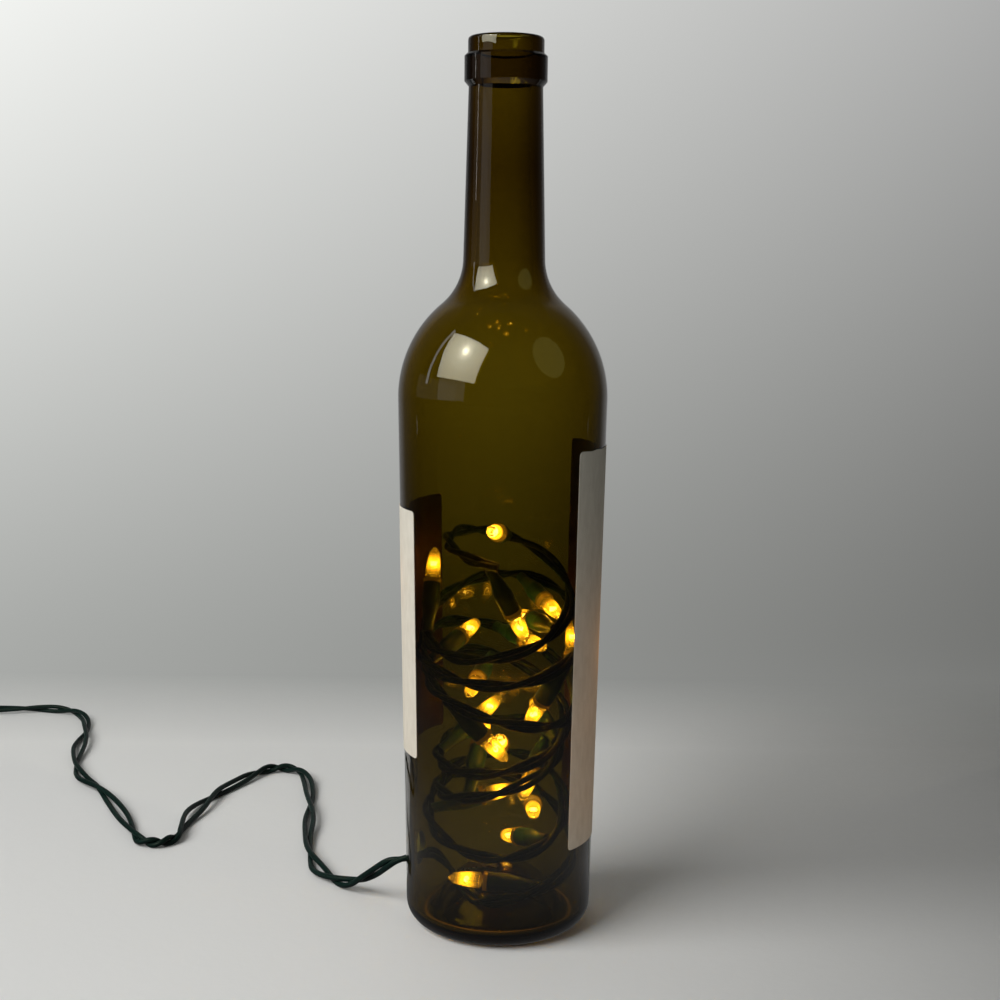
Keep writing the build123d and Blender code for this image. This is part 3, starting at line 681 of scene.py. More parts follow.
@dataclass
class Bottle:
    """The glass: punt, heel, tapered body, shoulder, neck and mouth, with one drilled hole.

    Sizes are in millimetres. The drill's middle stands at a share of the base's radius, and what is
    within a margin of the hole's radius counts as its side. Steps are the chords of arcs.
    """

    height: float = 325.0
    wall: float = 3.0
    base_radius: float = 34.4
    top_radius: float = 38.0
    shoulder_height: float = 197.0
    shoulder_arc: float = 44.0
    neck_arc: float = 21.4
    neck_foot: Vector = field(default_factory=lambda: flat(14.75, 247.0))
    neck_top_radius: float = 13.2
    neck_foot_wall: float = 3.9
    heel_arc: float = 8.7
    bearing_width: float = 3.4
    punt_depth: float = 19.0
    punt_wall: float = 3.5
    gutter_arc: float = 4.0
    lip_radius: float = 13.5
    lip_height: float = 6.0
    lip_round: float = 1.4
    ring_radius: float = 14.75
    ring_height: float = 9.5
    ring_chamfer: float = 0.8
    ring_slope: float = 1.8
    bore_radius: float = 9.25
    mouth_round: float = 1.0
    bore_length: float = 45.0
    hole_radius: float = 6.35
    hole_height: float = 24.5
    hole_azimuth: float = 170.0
    hole_margin: float = 1.01
    drill_share: float = 1.1
    drill_segments: int = 64
    # Painted lamp glow in the gutter round the punt: its width, its reach from the lamps and its colour.
    painted_gutter_glow_width: float = 0.5
    painted_gutter_glow_reach: float = 11.0
    painted_gutter_glow: Colour = rgb(2.4, 1.15, 0.2)
    segments: int = 192
    punt_steps: int = 20
    heel_steps: int = 14
    shoulder_steps: int = 30
    neck_steps: int = 22
    mouth_steps: int = 8

    def __post_init__(self) -> None:
        """Works out, in the profile, the body's side and the centres of the heel, the punt and the gutter."""
        skin = flat(self.base_radius, 0.0)
        self.body_head: Vector = flat(self.top_radius, self.shoulder_height)
        self.body_way: Vector = (self.body_head - skin).normalized()
        self.body_out: Vector = outward(self.body_way)
        line = skin - self.body_out * self.heel_arc * MM
        self.heel: Vector = line + self.body_way * ((self.heel_arc * MM - line.z) / self.body_way.z)
        self.bearing_inner: float = self.heel.x / MM - self.bearing_width
        self.punt_arc: float = (self.bearing_inner ** 2 + self.punt_depth ** 2) / (2.0 * self.punt_depth)
        self.punt: Vector = flat(0.0, self.punt_depth - self.punt_arc)
        self.gutter: Vector = further_point(skin - self.body_out * (self.wall + self.gutter_arc) * MM,
                                            self.body_way, self.punt,
                                            (self.punt_arc + self.punt_wall + self.gutter_arc) * MM)

    def body_radius(self, height: float, inward: float = 0.0) -> float:
        """Gives the body's radius at a height and a depth below the skin, all in millimetres."""
        skin = flat(self.base_radius, 0.0) / MM - self.body_out * inward
        return skin.x + (height - skin.z) * self.body_way.x / self.body_way.z

    def profile(self) -> Pen:
        """Draws the outline of the glass from the punt's top outside to its top inside.

        Returns:
            The pen with the whole profile.
        """
        out, body_head, heel, punt, gutter = self.body_out, self.body_head, self.heel, self.punt, self.gutter
        neck_top = self.height - self.lip_height - self.ring_height - self.ring_slope
        neck_head = flat(self.neck_top_radius, neck_top)
        neck_way = (neck_head - self.neck_foot).normalized()
        neck_out = outward(neck_way)
        shoulder = body_head - out * self.shoulder_arc * MM
        sweep = further_point(self.neck_foot + neck_out * self.neck_arc * MM, neck_way, shoulder,
                              (self.neck_arc + self.shoulder_arc) * MM)
        across = (sweep - shoulder).normalized()
        dome_foot = punt + (gutter - punt).normalized() * (self.punt_arc + self.punt_wall) * MM

        ring_top = self.height - self.lip_height
        lip_inner = self.lip_radius - self.lip_round
        mouth_outer = self.bore_radius + self.mouth_round
        bore_foot = flat(self.bore_radius, self.height - self.bore_length)
        bore_way = (bore_foot - self.neck_foot + neck_out * self.neck_foot_wall * MM).normalized()
        bore_out = outward(bore_way)
        bore_arc = (self.neck_arc + self.wall) * MM
        inner_arc = (self.shoulder_arc - self.wall) * MM
        inner_sweep = further_point(bore_foot + bore_out * bore_arc, bore_way, shoulder, bore_arc + inner_arc)
        inner_across = (inner_sweep - shoulder).normalized()

        pen = Pen(flat(0.0, self.punt_depth))
        pen.arc(punt, flat(self.bearing_inner, 0.0), self.punt_steps)
        pen.line(Vector((heel.x, 0.0, 0.0)))
        pen.arc(heel, heel + out * self.heel_arc * MM, self.heel_steps)
        pen.line(body_head)
        pen.arc(shoulder, shoulder + across * self.shoulder_arc * MM, self.shoulder_steps)
        pen.arc(sweep, sweep - neck_out * self.neck_arc * MM, self.neck_steps)
        pen.line(
            neck_head,
            flat(self.ring_radius, neck_top + self.ring_slope),
            flat(self.ring_radius, ring_top - self.ring_chamfer),
            flat(self.ring_radius - self.ring_chamfer, ring_top),
            flat(self.lip_radius, ring_top),
            flat(self.lip_radius, self.height - self.lip_round),
        )
        pen.arc(flat(lip_inner, self.height - self.lip_round), flat(lip_inner, self.height), self.mouth_steps)
        pen.line(flat(mouth_outer, self.height))
        pen.arc(flat(mouth_outer, self.height - self.mouth_round),
                flat(self.bore_radius, self.height - self.mouth_round), self.mouth_steps)
        pen.line(bore_foot, inner_sweep - bore_out * bore_arc)
        pen.arc(inner_sweep, shoulder + inner_across * inner_arc, self.neck_steps)
        pen.arc(shoulder, body_head - out * self.wall * MM, self.shoulder_steps)
        pen.line(gutter + out * self.gutter_arc * MM)
        pen.arc(gutter, dome_foot, self.heel_steps)
        pen.arc(punt, flat(0.0, self.punt_depth + self.punt_wall), self.punt_steps)
        return pen

    def drill(self) -> Object:
        """Makes the drill for the lead's hole, from inside the bottle outward.

        Returns:
            The drill as an object.
        """
        way = bearing(self.hole_azimuth)
        middle = way * (self.base_radius * self.drill_share * MM) + UP * (self.hole_height * MM)
        form = bmesh.new()
        bmesh.ops.create_cone(form, cap_ends=True, segments=self.drill_segments,
                              radius1=self.hole_radius * MM, radius2=self.hole_radius * MM,
                              depth=self.base_radius * MM, matrix=stood(middle, way))
        return add_piece("drill", to_mesh(form, "drill"))

    def in_hole(self, point: Vector) -> bool:
        """Tells whether a point lies in the drilled hole.

        Args:
            point: The point in metres.

        Returns:
            Whether it lies in the hole or on its side.
        """
        way = bearing(self.hole_azimuth)
        off = point - UP * (self.hole_height * MM)
        across = (off - way * off.dot(way)).length
        return off.dot(way) > 0.0 and across < self.hole_radius * self.hole_margin * MM

    def build(self, lamps: list[Vector]) -> Object:
        """Makes the drilled glass and puts it in place of its solid.

        Args:
            lamps: Middles of the bulbs, near which a lamp glow is painted into the gutter round the punt.

        Returns:
            The piece.
        """
        blank = add_piece("turned_glass", to_mesh(self.profile().turned(self.segments), "turned_glass"))
        drill = self.drill()
        cut = blank.modifiers.new("drill", "BOOLEAN")
        cut.operation = "DIFFERENCE"
        cut.solver = "EXACT"
        cut.object = drill
        mesh = evaluated(blank)
        mesh.name = "bottle_glass"
        mesh.materials.clear()
        bpy.data.objects.remove(drill)
        bpy.data.objects.remove(blank)
        glass = add_piece("bottle_glass", mesh, BOTTLE_GLASS.material(), GROUND_GLASS.material())
        for polygon in mesh.polygons:
            polygon.material_index = int(self.in_hole(polygon.center))
        smooth(mesh, sharp_angle=30.0)
        ring = self.gutter - UP * (self.gutter_arc * MM)

        def painted_gutter_glow_at(point: Vector) -> float:
            """Gives the strength of the painted lamp glow in the gutter at a point."""
            off = (Vector((math.hypot(point.x, point.y), 0.0, point.z)) - ring).length / MM
            near = min((point - lamp).length for lamp in lamps) / MM
            return math.exp(-(off / self.painted_gutter_glow_width) ** 2 - near / self.painted_gutter_glow_reach)

        # Painted glow: lamp light painted into the glass along the gutter, strongest near the lamps.
        store_glow(mesh, self.painted_gutter_glow, painted_gutter_glow_at)
        return settle(glass, Slot.GLASS, "bottle")


@dataclass
class Label:
    """A paper label bent round the bottle's body. Sizes are in millimetres.

    Its top edge is worn by a noise, from a share of its half height up.
    """

    name: str
    node: str
    width: float
    height: float
    middle: float
    azimuth: float
    ragged: float = 0.0
    corner: float = 1.5
    thickness: float = 0.15
    glue: float = 0.06
    columns: int = 72
    rows: int = 120
    worn_from: float = 0.9
    wear_waves: float = 0.22
    wear_row: float = 3.0
    wear_depth: float = 0.3
    # Painted glow of the lamps behind the paper: its reach, fall-off, limit and colour.
    glow_reach: float = 13.0
    glow_fall: float = 4.0
    glow_limit: float = 1.3
    glow: Colour = rgb(0.21, 0.08, 0.009)

    def sheet(self) -> BMesh:
        """Makes the flat sheet with rounded corners and its worn top edge.

        Returns:
            The sheet, its width along X and its height along Y.
        """
        form = bmesh.new()
        bmesh.ops.create_grid(form, x_segments=self.columns, y_segments=self.rows, size=0.5)
        bmesh.ops.scale(form, verts=form.verts[:], vec=(self.width, self.height, 1.0))
        for vert in form.verts:
            self.round_corner(vert)
            top = max(0.0, (vert.co.y / self.height * 2.0 - self.worn_from) / (1.0 - self.worn_from))
            wear = noise.noise(Vector((vert.co.x * self.wear_waves, self.wear_row, 0.0))) - self.wear_depth
            vert.co.y += self.ragged * top * wear
        return form

    def round_corner(self, vert: BMVert) -> None:
        """Draws a vertex in to the round of its corner.

        Args:
            vert: A vertex of the flat sheet.
        """
        inner = Vector((self.width / 2.0 - self.corner, self.height / 2.0 - self.corner))
        past = Vector((abs(vert.co.x) - inner.x, abs(vert.co.y) - inner.y))
        if past.x > 0.0 and past.y > 0.0 and past.length > self.corner:
            past *= self.corner / past.length
            vert.co.x = math.copysign(inner.x + past.x, vert.co.x)
            vert.co.y = math.copysign(inner.y + past.y, vert.co.y)

    def build(self, bottle: Bottle, lamps: list[Vector]) -> Object:
        """Bends the sheet round the bottle and puts it in place of its solid.

        Args:
            bottle: The bottle that carries it.
            lamps: Middles of the bulbs, near which a lamp glow is painted on the paper.

        Returns:
            The piece.
        """
        form = self.sheet()
        radius = bottle.body_radius(self.middle)
        for vert in form.verts:
            height = self.middle + vert.co.y
            way = bearing(self.azimuth + math.degrees(vert.co.x / radius))
            vert.co = way * (bottle.body_radius(height, -self.glue) * MM) + UP * (height * MM)
        merge_and_face(form)
        out = bearing(self.azimuth)
        if sum(face.normal.dot(out) for face in form.faces) < 0.0:
            bmesh.ops.reverse_faces(form, faces=form.faces[:])
        bmesh.ops.solidify(form, geom=form.faces[:], thickness=-self.thickness * MM)
        mesh = to_mesh(form, self.name)
        reach = self.glow_reach * MM

        def through(point: Vector) -> float:
            """Gives the strength of the painted lamp glow at a point of the paper."""
            amount = sum((reach / (point - lamp).length) ** self.glow_fall for lamp in lamps)
            return min(amount, self.glow_limit)

        # Painted glow where lamps lie behind the paper.
        store_glow(mesh, self.glow, through)
        return settle(add_piece(self.name, mesh, LABEL_PAPER.material()), Slot.PAPER, self.node)


@dataclass
class Winding:
    """The light string's way inside the bottle, from its last lamp down to the drilled hole.

    Sizes are in millimetres.
    """

    pair_radius: float = 2.0
    lamp_turns: float = 7.07
    turns: float = 7.3
    pitch: float = 16.0
    foot: float = 25.0
    start: float = 225.0
    join: float = 0.08
    gap: float = 1.2
    sway: float = 7.0
    sways: float = 1.5
    lean: Span = (0.30, 0.50)
    lean_wave: float = 0.15
    lean_waves: float = 2.6
    swing: Span = (-35.0, 40.0)
    swing_wave: float = 50.0
    swing_waves: float = 2.2
    closing_turns: float = 0.7
    closing_radius: float = 11.0
    points_a_turn: int = 32

    def point(self, bottle: Bottle, turn: float) -> Vector:
        """Gives the string's place after so many turns.

        Args:
            bottle: The bottle it is wound in.
            turn: Turns from the foot.

        Returns:
            The point in metres.
        """
        share = turn / self.turns

        def waved(ends: Span, wave: float, waves: float) -> float:
            """Gives a value on its way from one end to the other, in waves."""
            return ends[0] + (ends[1] - ends[0]) * share + wave * math.sin(FULL_TURN * waves * share)

        angle = math.radians(self.start) + FULL_TURN * turn
        rise = self.foot + self.pitch * turn
        radius = bottle.body_radius(rise, bottle.wall) - self.pair_radius - self.gap
        radius -= self.sway * (1.0 - math.cos(FULL_TURN * self.sways * share)) / 2.0
        closing = max(0.0, (turn - self.turns + self.closing_turns) / self.closing_turns)
        radius += (self.closing_radius - radius) * eased(closing)
        lean = waved(self.lean, self.lean_wave, self.lean_waves)
        swing = waved(self.swing, self.swing_wave, self.swing_waves)
        height = rise + lean * radius * math.sin(angle - math.radians(swing))
        return Vector((radius * math.cos(angle), radius * math.sin(angle), height)) * MM

    def route(self, bottle: Bottle) -> list[Vector]:
        """Lists the control points from the string's end to the bottle's foot.

        Args:
            bottle: The bottle it is wound in.

        Returns:
            The points in metres.
        """
        count = round((self.lamp_turns - self.join) * self.points_a_turn)
        step = (self.lamp_turns - self.join) / count
        points = [self.point(bottle, self.lamp_turns - step * index) for index in range(count + 1)]
        ahead = (points[0] - points[1]).normalized()
        return [points[0] + ahead * (2.0 * self.pair_radius * MM)] + points


@dataclass
class Lead:
    """The lead's way over the floor: out of the hole, in loose folds, into a tied coil, to the plug.

    Sizes are in millimetres.
    """

    droop: float = 18.0
    reach: float = 1.5
    run: float = 7.0
    seat_gap: float = 0.3
    pair_radius: float = 2.0
    folds: tuple[Triple, ...] = (
        (-48.6, 13.0, 11.2), (-56.5, 21.5, 3.9), (-65.5, 28.5, 2.1), (-74.0, 42.0, 2.1),
        (-80.5, 66.0, 2.1), (-83.5, 102.0, 2.1), (-87.5, 138.0, 2.1), (-92.0, 161.0, 2.1),
        (-98.5, 172.0, 2.1), (-108.5, 174.5, 2.1), (-117.0, 166.0, 2.1), (-123.0, 150.5, 2.1),
        (-131.8, 131.0, 2.1), (-136.5, 107.0, 2.1), (-137.5, 89.0, 2.1), (-136.8, 74.5, 2.1),
        (-143.2, 68.2, 2.1), (-151.8, 70.2, 2.1), (-158.5, 84.5, 2.1), (-171.0, 113.0, 2.1),
        (-186.5, 141.5, 2.1), (-198.5, 156.0, 2.1), (-206.5, 176.0, 2.1), (-212.0, 206.0, 2.1),
        (-215.5, 236.0, 2.1), (-222.0, 259.0, 2.1), (-233.5, 272.0, 2.1), (-251.0, 275.0, 2.1),
        (-270.0, 272.5, 2.1), (-288.0, 270.0, 2.9), (-304.0, 270.0, 2.9),
    )
    coil_middle: Span = (-308.0, 244.6)
    coil_radius: float = 25.4
    coil_pitch: float = 4.6
    coil_foot: float = 2.9
    coil_layer: float = 4.5
    turns_a_layer: float = 1.875
    reversal: float = 0.5
    tail: float = 20.0
    points_a_turn: int = 16

    def exit_way(self, bottle: Bottle) -> tuple[Vector, Vector]:
        """Gives where the pair rests on the hole's lip and the way it droops there.

        Args:
            bottle: The drilled bottle.

        Returns:
            The point in metres and the direction.
        """
        out = bearing(bottle.hole_azimuth)
        way = bearing(bottle.hole_azimuth, -self.droop)
        lip = bottle.hole_height - bottle.hole_radius
        lift = lip + self.seat_gap + self.pair_radius / math.cos(math.radians(self.droop))
        return (out * bottle.body_radius(lip) + UP * lift) * MM, way

    def coil_point(self, turn: float) -> Vector:
        """Gives the coil's place after so many turns: in, up a layer and out again.

        Args:
            turn: Turns from where the lead comes in.

        Returns:
            The point in metres.
        """
        inner = self.coil_radius - self.coil_pitch * self.turns_a_layer
        angle = math.pi / 2.0 + FULL_TURN * turn
        past = turn - self.turns_a_layer
        share = min(max(past / self.reversal, 0.0), 1.0)
        radius = inner + self.coil_pitch * (abs(past) if past <= 0.0 else past - self.reversal)
        if 0.0 < share < 1.0:
            radius = inner - self.coil_pitch * past * (1.0 - share)
        height = self.coil_foot + self.coil_layer * eased(share)
        return Vector((self.coil_middle[0] + radius * math.cos(angle),
                       self.coil_middle[1] + radius * math.sin(angle), height)) * MM

    def route(self, bottle: Bottle) -> list[Vector]:
        """Lists the control points from inside the hole to the plug.

        Args:
            bottle: The drilled bottle.

        Returns:
            The points in metres. The third is where the lead leaves the bottle.
        """
        rest, way = self.exit_way(bottle)
        inside = rest - way * ((bottle.wall + self.reach) * MM)
        start = rest + way * (self.reach * MM)
        points = [inside - way * (self.run * MM), inside, start, start + way * (self.run * MM)]
        points += [Vector(fold) * MM for fold in self.folds]
        turns = 2.0 * self.turns_a_layer + self.reversal
        count = round(turns * self.points_a_turn)
        points += [self.coil_point(turns * index / count) for index in range(count + 1)]
        last = points[-1]
        points += [last - Vector((0.0, self.tail * share * MM, 0.0)) for share in (0.5, 1.0)]
        return points


@dataclass
class TwistedPair:
    """Two insulated wires laid round each other along one smooth line. Sizes in millimetres.

    The twist gathers in the bends, where the wires lie close, and opens on the straight runs. Settling
    is the number of points over which they come together at the hole and at the coil.
    """

    strand_radius: float = 1.15
    lay: float = 150.0
    gather: float = 3.0
    tightness: float = 20.0
    slack: Span = (0.5, 2.0)
    slack_lengths: Span = (113.0, 71.0)
    settling: float = 22.0
    bend_reach: int = 10
    resolution: int = 18
    roundness: int = 2

    def line(self, route: list[Vector]) -> list[Vector]:
        """Reads the points, in metres, of the smooth line that a route's points control."""
        mesh = curve_mesh("pair_line", "NURBS", [route], resolution_u=self.resolution)
        return [vert.co.copy() for vert in mesh.vertices]

    def bend(self, line: list[Vector], index: int) -> float:
        """Tells how sharply a line bends at a point, taken over a short reach each way.

        Args:
            line: Points of the line in metres.
            index: The point.

        Returns:
            Radians in each millimetre.
        """
        before = line[index] - line[max(index - self.bend_reach, 0)]
        after = line[min(index + self.bend_reach, len(line) - 1)] - line[index]
        return before.angle(after, 0.0) * 2.0 * MM / (before.length + after.length)

    def strands(self, line: list[Vector], hole: int, coil: int) -> list[list[Vector]]:
        """Lays the two wires round a line, loosely but for the drilled hole and the tied coil.

        Args:
            line: Points of the line in metres.
            hole: The point at the hole.
            coil: The first point of the coil.

        Returns:
            The points of each wire.
        """
        wires: list[list[Vector]] = [[], []]
        run = turn = 0.0
        for index, here in enumerate(line):
            before = line[max(index - 1, 0)]
            after = line[min(index + 1, len(line) - 1)]
            step = (here - before).length / MM
            bend = self.bend(line, index)
            run += step
            turn += step * (FULL_TURN / self.lay + self.gather * bend)
            along = (after - before).normalized()
            across = along.cross(UP).normalized()
            over = across.cross(along)
            waves = [math.sin(FULL_TURN * run / length) for length in self.slack_lengths]
            ends = min(abs(index - hole), coil - index) / self.settling
            loose = self.slack[index > hole] * (1.0 + sum(waves) / len(waves)) / 2.0
            loose *= min(max(ends, 0.0), 1.0)
            loose *= max(1.0 - self.tightness * bend, 0.0)
            middle = here.copy()
            middle.z = max(here.z, 2.0 * self.strand_radius * MM)
            for wire, phase in zip(wires, (0.0, math.pi)):
                offset = across * ((self.strand_radius + loose) * math.cos(turn + phase))
                offset += over * (self.strand_radius * math.sin(turn + phase))
                wire.append(middle + offset * MM)
        return wires

    def build(self, name: str, wires: list[list[Vector]], *nodes: str) -> Object:
        """Makes both wires as one mesh of round strands.

        Args:
            name: Name of the piece.
            wires: Points of each wire.
            *nodes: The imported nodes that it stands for.

        Returns:
            The piece.
        """
        mesh = curve_mesh(name, "POLY", wires, bevel_depth=self.strand_radius * MM,
                          bevel_resolution=self.roundness, use_fill_caps=True)
        smooth(mesh, sharp_angle=60.0)
        return settle(add_piece(name, mesh, WIRE.material()), Slot.WIRE, *nodes)


@dataclass
class Wiring:
    """The whole pair of wires: wound in the bottle, led out of the hole, coiled and plugged."""

    winding: Winding = field(default_factory=Winding)
    lead: Lead = field(default_factory=Lead)
    pair: TwistedPair = field(default_factory=TwistedPair)
    lead_length: float = 1.188
    lead_diameter: float = 0.004

    def build(self, bottle: Bottle) -> list[Object]:
        """Makes the wound string and the lead as one unbroken pair, parted at the hole.

        Args:
            bottle: The drilled bottle.

        Returns:
            The two pieces.
        """
        outside = self.lead.route(bottle)
        line = self.pair.line(self.winding.route(bottle) + outside)
        ends = (outside[2], Vector(self.lead.folds[-1]) * MM)
        cut, coil = (min(range(len(line)), key=lambda index: (line[index] - end).length) for end in ends)
        wires = self.pair.strands(line, cut, coil)
        string = self.pair.build("wound_string", [wire[:cut + 1] for wire in wires], "light_string")
        lead = self.pair.build("lead_pair", [wire[cut:] for wire in wires], "lead_cord", "lead_coil")
        return [string, lead]


def dress(node: str, finish: SurfaceFinish | GlassFinish) -> Object:
    """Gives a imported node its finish.

    Args:
        node: Name of the node.
        finish: Its finish.

    Returns:
        The node's object.
    """
    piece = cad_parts[node]
    for slot in piece.material_slots:
        slot.material = finish.material()
    return piece


@dataclass(frozen=True)
class Stand:
    """How a lamp stands: its bulb's tip, the direction from socket to tip and the middle of its coil."""

    tip: Vector
    axis: Vector
    coil: Vector


@dataclass
class Lamps:
    """The small lamps on the string: socket, base, bulb and filament each. Sizes in millimetres."""

    count: int = 20
    coil_below_tip: float = 6.6
    coil_radius: float = 0.7
    coil_length: float = 2.4
    coil_turns: int = 5
    wire_radius: float = 0.19
    post_length: float = 6.2
    bulb_radius: float = 2.9
    bulb_length: float = 12.6
    bulb_glass: float = 0.45
    neck_radius: float = 1.6
    neck_length: float = 3.35
    lead_in_radius: float = 0.8
    brow: float = 0.72
    nib_radius: float = 0.45
    glow_fades: float = 0.65
    glow: Colour = rgb(2.0, 1.0, 0.12)
    light_tone: Triple = (1.0, 0.50, 0.08)
    light_power: float = 0.006
    side_steps: int = 10
    crown_rise: float = 65.0
    crown_steps: int = 6
    bulb_segments: int = 24
    wire_segments: int = 8
    coil_steps: int = 14
    post_segments: int = 10

    def names(self, part: str) -> list[str]:
        """Lists the nodes of one part of every lamp."""
        return [f"lamp_{number:02d}_{part}" for number in range(1, self.count + 1)]

    def middles(self) -> list[Vector]:
        """Gives the middle of each bulb."""
        boxes = [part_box(name) for name in self.names("bulb")]
        return [(Vector(low) + Vector(high)) / 2.0 for low, high in boxes]

    @staticmethod
    def points(node: str) -> np.ndarray:
        """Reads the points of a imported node's mesh.

        Args:
            node: Name of the node.

        Returns:
            The points in rows.
        """
        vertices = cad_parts[node].data.vertices
        numbers = np.empty(len(vertices) * 3)
        vertices.foreach_get("co", numbers)
        return numbers.reshape(-1, 3)

    def stand(self, bulb: str, socket: str) -> Stand:
        """Finds how a lamp stands.

        Args:
            bulb: Node of its bulb.
            socket: Node of its socket.

        Returns:
            Its stand.
        """
        points = self.points(bulb)
        middle = points.mean(axis=0)
        axis = np.linalg.svd(points - middle, full_matrices=False)[2][0]
        if axis @ (middle - self.points(socket).mean(axis=0)) < 0.0:
            axis = -axis
        tip = Vector(middle + axis * ((points - middle) @ axis).max())
        return Stand(tip, Vector(axis), tip - Vector(axis) * (self.coil_below_tip * MM))

    def side(self, inset: float) -> tuple[Vector, Vector, Vector]:
        """Finds the shallow arc of a bulb's side.

        Args:
            inset: Depth below the outer skin in millimetres.

        Returns:
            The belly, the brow and the centre of the arc between them.
        """
        belly = flat(self.bulb_radius - inset, self.bulb_radius - self.neck_radius - self.bulb_length)
        brow = flat(belly.x / MM * self.brow, -self.bulb_radius)
        draw = belly.x - brow.x
        arc = (draw ** 2 + (brow.z - belly.z) ** 2) / (2.0 * draw)
        return belly, brow, Vector((belly.x - arc, 0.0, belly.z))

    def envelope(self) -> BMesh:
        """Makes one bulb's hollow glass with its tip at the origin, its axis along Z.

        Returns:
            The hollow form.
        """
        foot = -self.bulb_length - self.neck_length
        belly, brow, centre = self.side(0.0)
        pen = Pen(flat(self.lead_in_radius, foot))
        pen.line(flat(self.neck_radius, foot), flat(self.neck_radius, -self.bulb_length), belly)
        pen.arc(centre, brow, self.side_steps)
        crown = UP * brow.z
        pen.arc(crown, crown + bearing(0.0, self.crown_rise) * brow.x, self.crown_steps)
        pen.line(flat(self.nib_radius, -self.nib_radius), ORIGIN, flat(0.0, -2.0 * self.bulb_glass))
        belly, brow, centre = self.side(self.bulb_glass)
        pen.line(brow)
        pen.arc(centre, belly, self.side_steps)
        pen.line(flat(self.lead_in_radius, self.bulb_glass - self.bulb_length),
                 flat(self.lead_in_radius, foot))
        return pen.turned(self.bulb_segments)

    def bulb(self, number: int, stand: Stand) -> Object:
        """Makes one bulb in place of its solid, glowing most round its filament.

        Args:
            number: The lamp's number on the string.
            stand: How it stands.

        Returns:
            The piece.
        """
        form = self.envelope()
        bmesh.ops.transform(form, verts=form.verts[:], matrix=stood(stand.tip, stand.axis))
        name = f"bulb_{number:02d}"
        mesh = to_mesh(form, name)

        def brightness(point: Vector) -> float:
            """Gives how strongly the glass glows at a point."""
            past = (point - stand.coil).length / MM - self.bulb_radius
            return math.exp(-max(past, 0.0) / self.glow_fades)

        store_glow(mesh, self.glow, brightness)
        piece = add_piece(name, mesh, BULB_GLASS.material())
        piece.visible_shadow = False
        return settle(piece, Slot.BULB, f"lamp_{number:02d}_bulb")

    def shine(self, place: Vector) -> None:
        """Adds the light that one lamp throws on the wires and sockets near it.

        Args:
            place: The middle of the lamp's coil.
        """
        light = bpy.data.lights.new("lamp_light", "POINT")
        light.color = self.light_tone
        light.energy = self.light_power
        light.shadow_soft_size = self.coil_radius * MM
        lamp = add_object("lamp_light", light)
        lamp.location = place
        lamp.visible_camera = False
        lamp.visible_transmission = False

    def filament(self, form: BMesh, stand: Stand) -> None:
        """Adds one lamp's glowing coil between its two posts.

        Args:
            form: The form of all filaments.
            stand: How the lamp stands.
        """
        axis = stand.axis
        across = axis.cross(UP).normalized()
        half = across * (self.coil_length / 2.0 * MM)
        radius = self.wire_radius * MM
        start = stood(stand.coil - half + axis * (self.coil_radius * MM), across.cross(axis))
        ring = bmesh.ops.create_circle(form, segments=self.wire_segments, radius=radius,
                                       matrix=start)["verts"]
        edges = list({edge for vert in ring for edge in vert.link_edges})
        steps = self.coil_turns * self.coil_steps
        bmesh.ops.spin(form, geom=ring + edges, cent=stand.coil - half, axis=across, steps=steps,
                       angle=FULL_TURN * self.coil_turns, dvec=half * (2.0 / steps))
        for side in (-half, half):
            middle = stood(stand.coil + side - axis * (self.post_length / 2.0 * MM), axis)
            post = bmesh.ops.create_cone(form, cap_ends=True, segments=self.post_segments, radius1=radius,
                                         radius2=radius, depth=self.post_length * MM, matrix=middle)["verts"]
            for face in {face for vert in post for face in vert.link_faces}:
                face.material_index = 1

    def filaments(self, stands: list[Stand]) -> Object:
        """Makes all filaments as one piece in place of their solids.

        Args:
            stands: How each lamp stands.

        Returns:
            The piece.
        """
        form = bmesh.new()
        for stand in stands:
            self.filament(form, stand)
        bmesh.ops.holes_fill(form, edges=form.edges[:], sides=0)
        bmesh.ops.recalc_face_normals(form, faces=form.faces[:])
        mesh = to_mesh(form, "lamp_coils")
        piece = add_piece("lamp_coils", mesh, FILAMENT.material(), POST_WIRE.material())
        return settle(piece, Slot.FILAMENT, "lamp_filaments")

    def build(self) -> list[Object]:
        """Gives every lamp its finishes and its light, and makes the bulbs and filaments.

        Returns:
            The dressed nodes, the bulbs and the filaments.
        """
        stands = [self.stand(*nodes) for nodes in zip(self.names("bulb"), self.names("socket"))]
        pieces = [dress(name, LAMP_PLASTIC) for name in self.names("socket")]
        pieces += [self.bulb(number, stand) for number, stand in enumerate(stands, start=1)]
        pieces.append(dress("lamp_bases", BASE_PLASTIC))
        pieces.append(self.filaments(stands))
        for stand in stands:
            self.shine(stand.coil)
        return pieces


class Plug:
    """The fused plug at the lead's end, and the tie round the coil."""

    FINISHES = {
        "plug_body": PLUG_PLASTIC,
        "plug_blade_narrow": BRASS,
        "plug_blade_wide": BRASS,
        "fuse_door": PLUG_PLASTIC,
        "plug_fuses": FUSE_GLASS,
        "fuse_contacts": BRASS,
    }

    def build(self) -> list[Object]:
        """Gives the plug and the tie their finishes, and lists their nodes."""
        pieces = [dress(node, finish) for node, finish in self.FINISHES.items()]
        return pieces + [dress("coil_tie", TIE_PLASTIC)]


@dataclass(frozen=True)
class Panel:
    """Something flat that faces the bottle. Sizes are in metres."""

    name: str
    azimuth: float
    elevation: float
    distance: float
    width: float
    height: float

    def placed(self) -> Matrix:
        """Gives the panel's place, its back along its own Z axis."""
        way = bearing(self.azimuth, self.elevation)
        return stood(PANEL_AIM + way * self.distance, way)


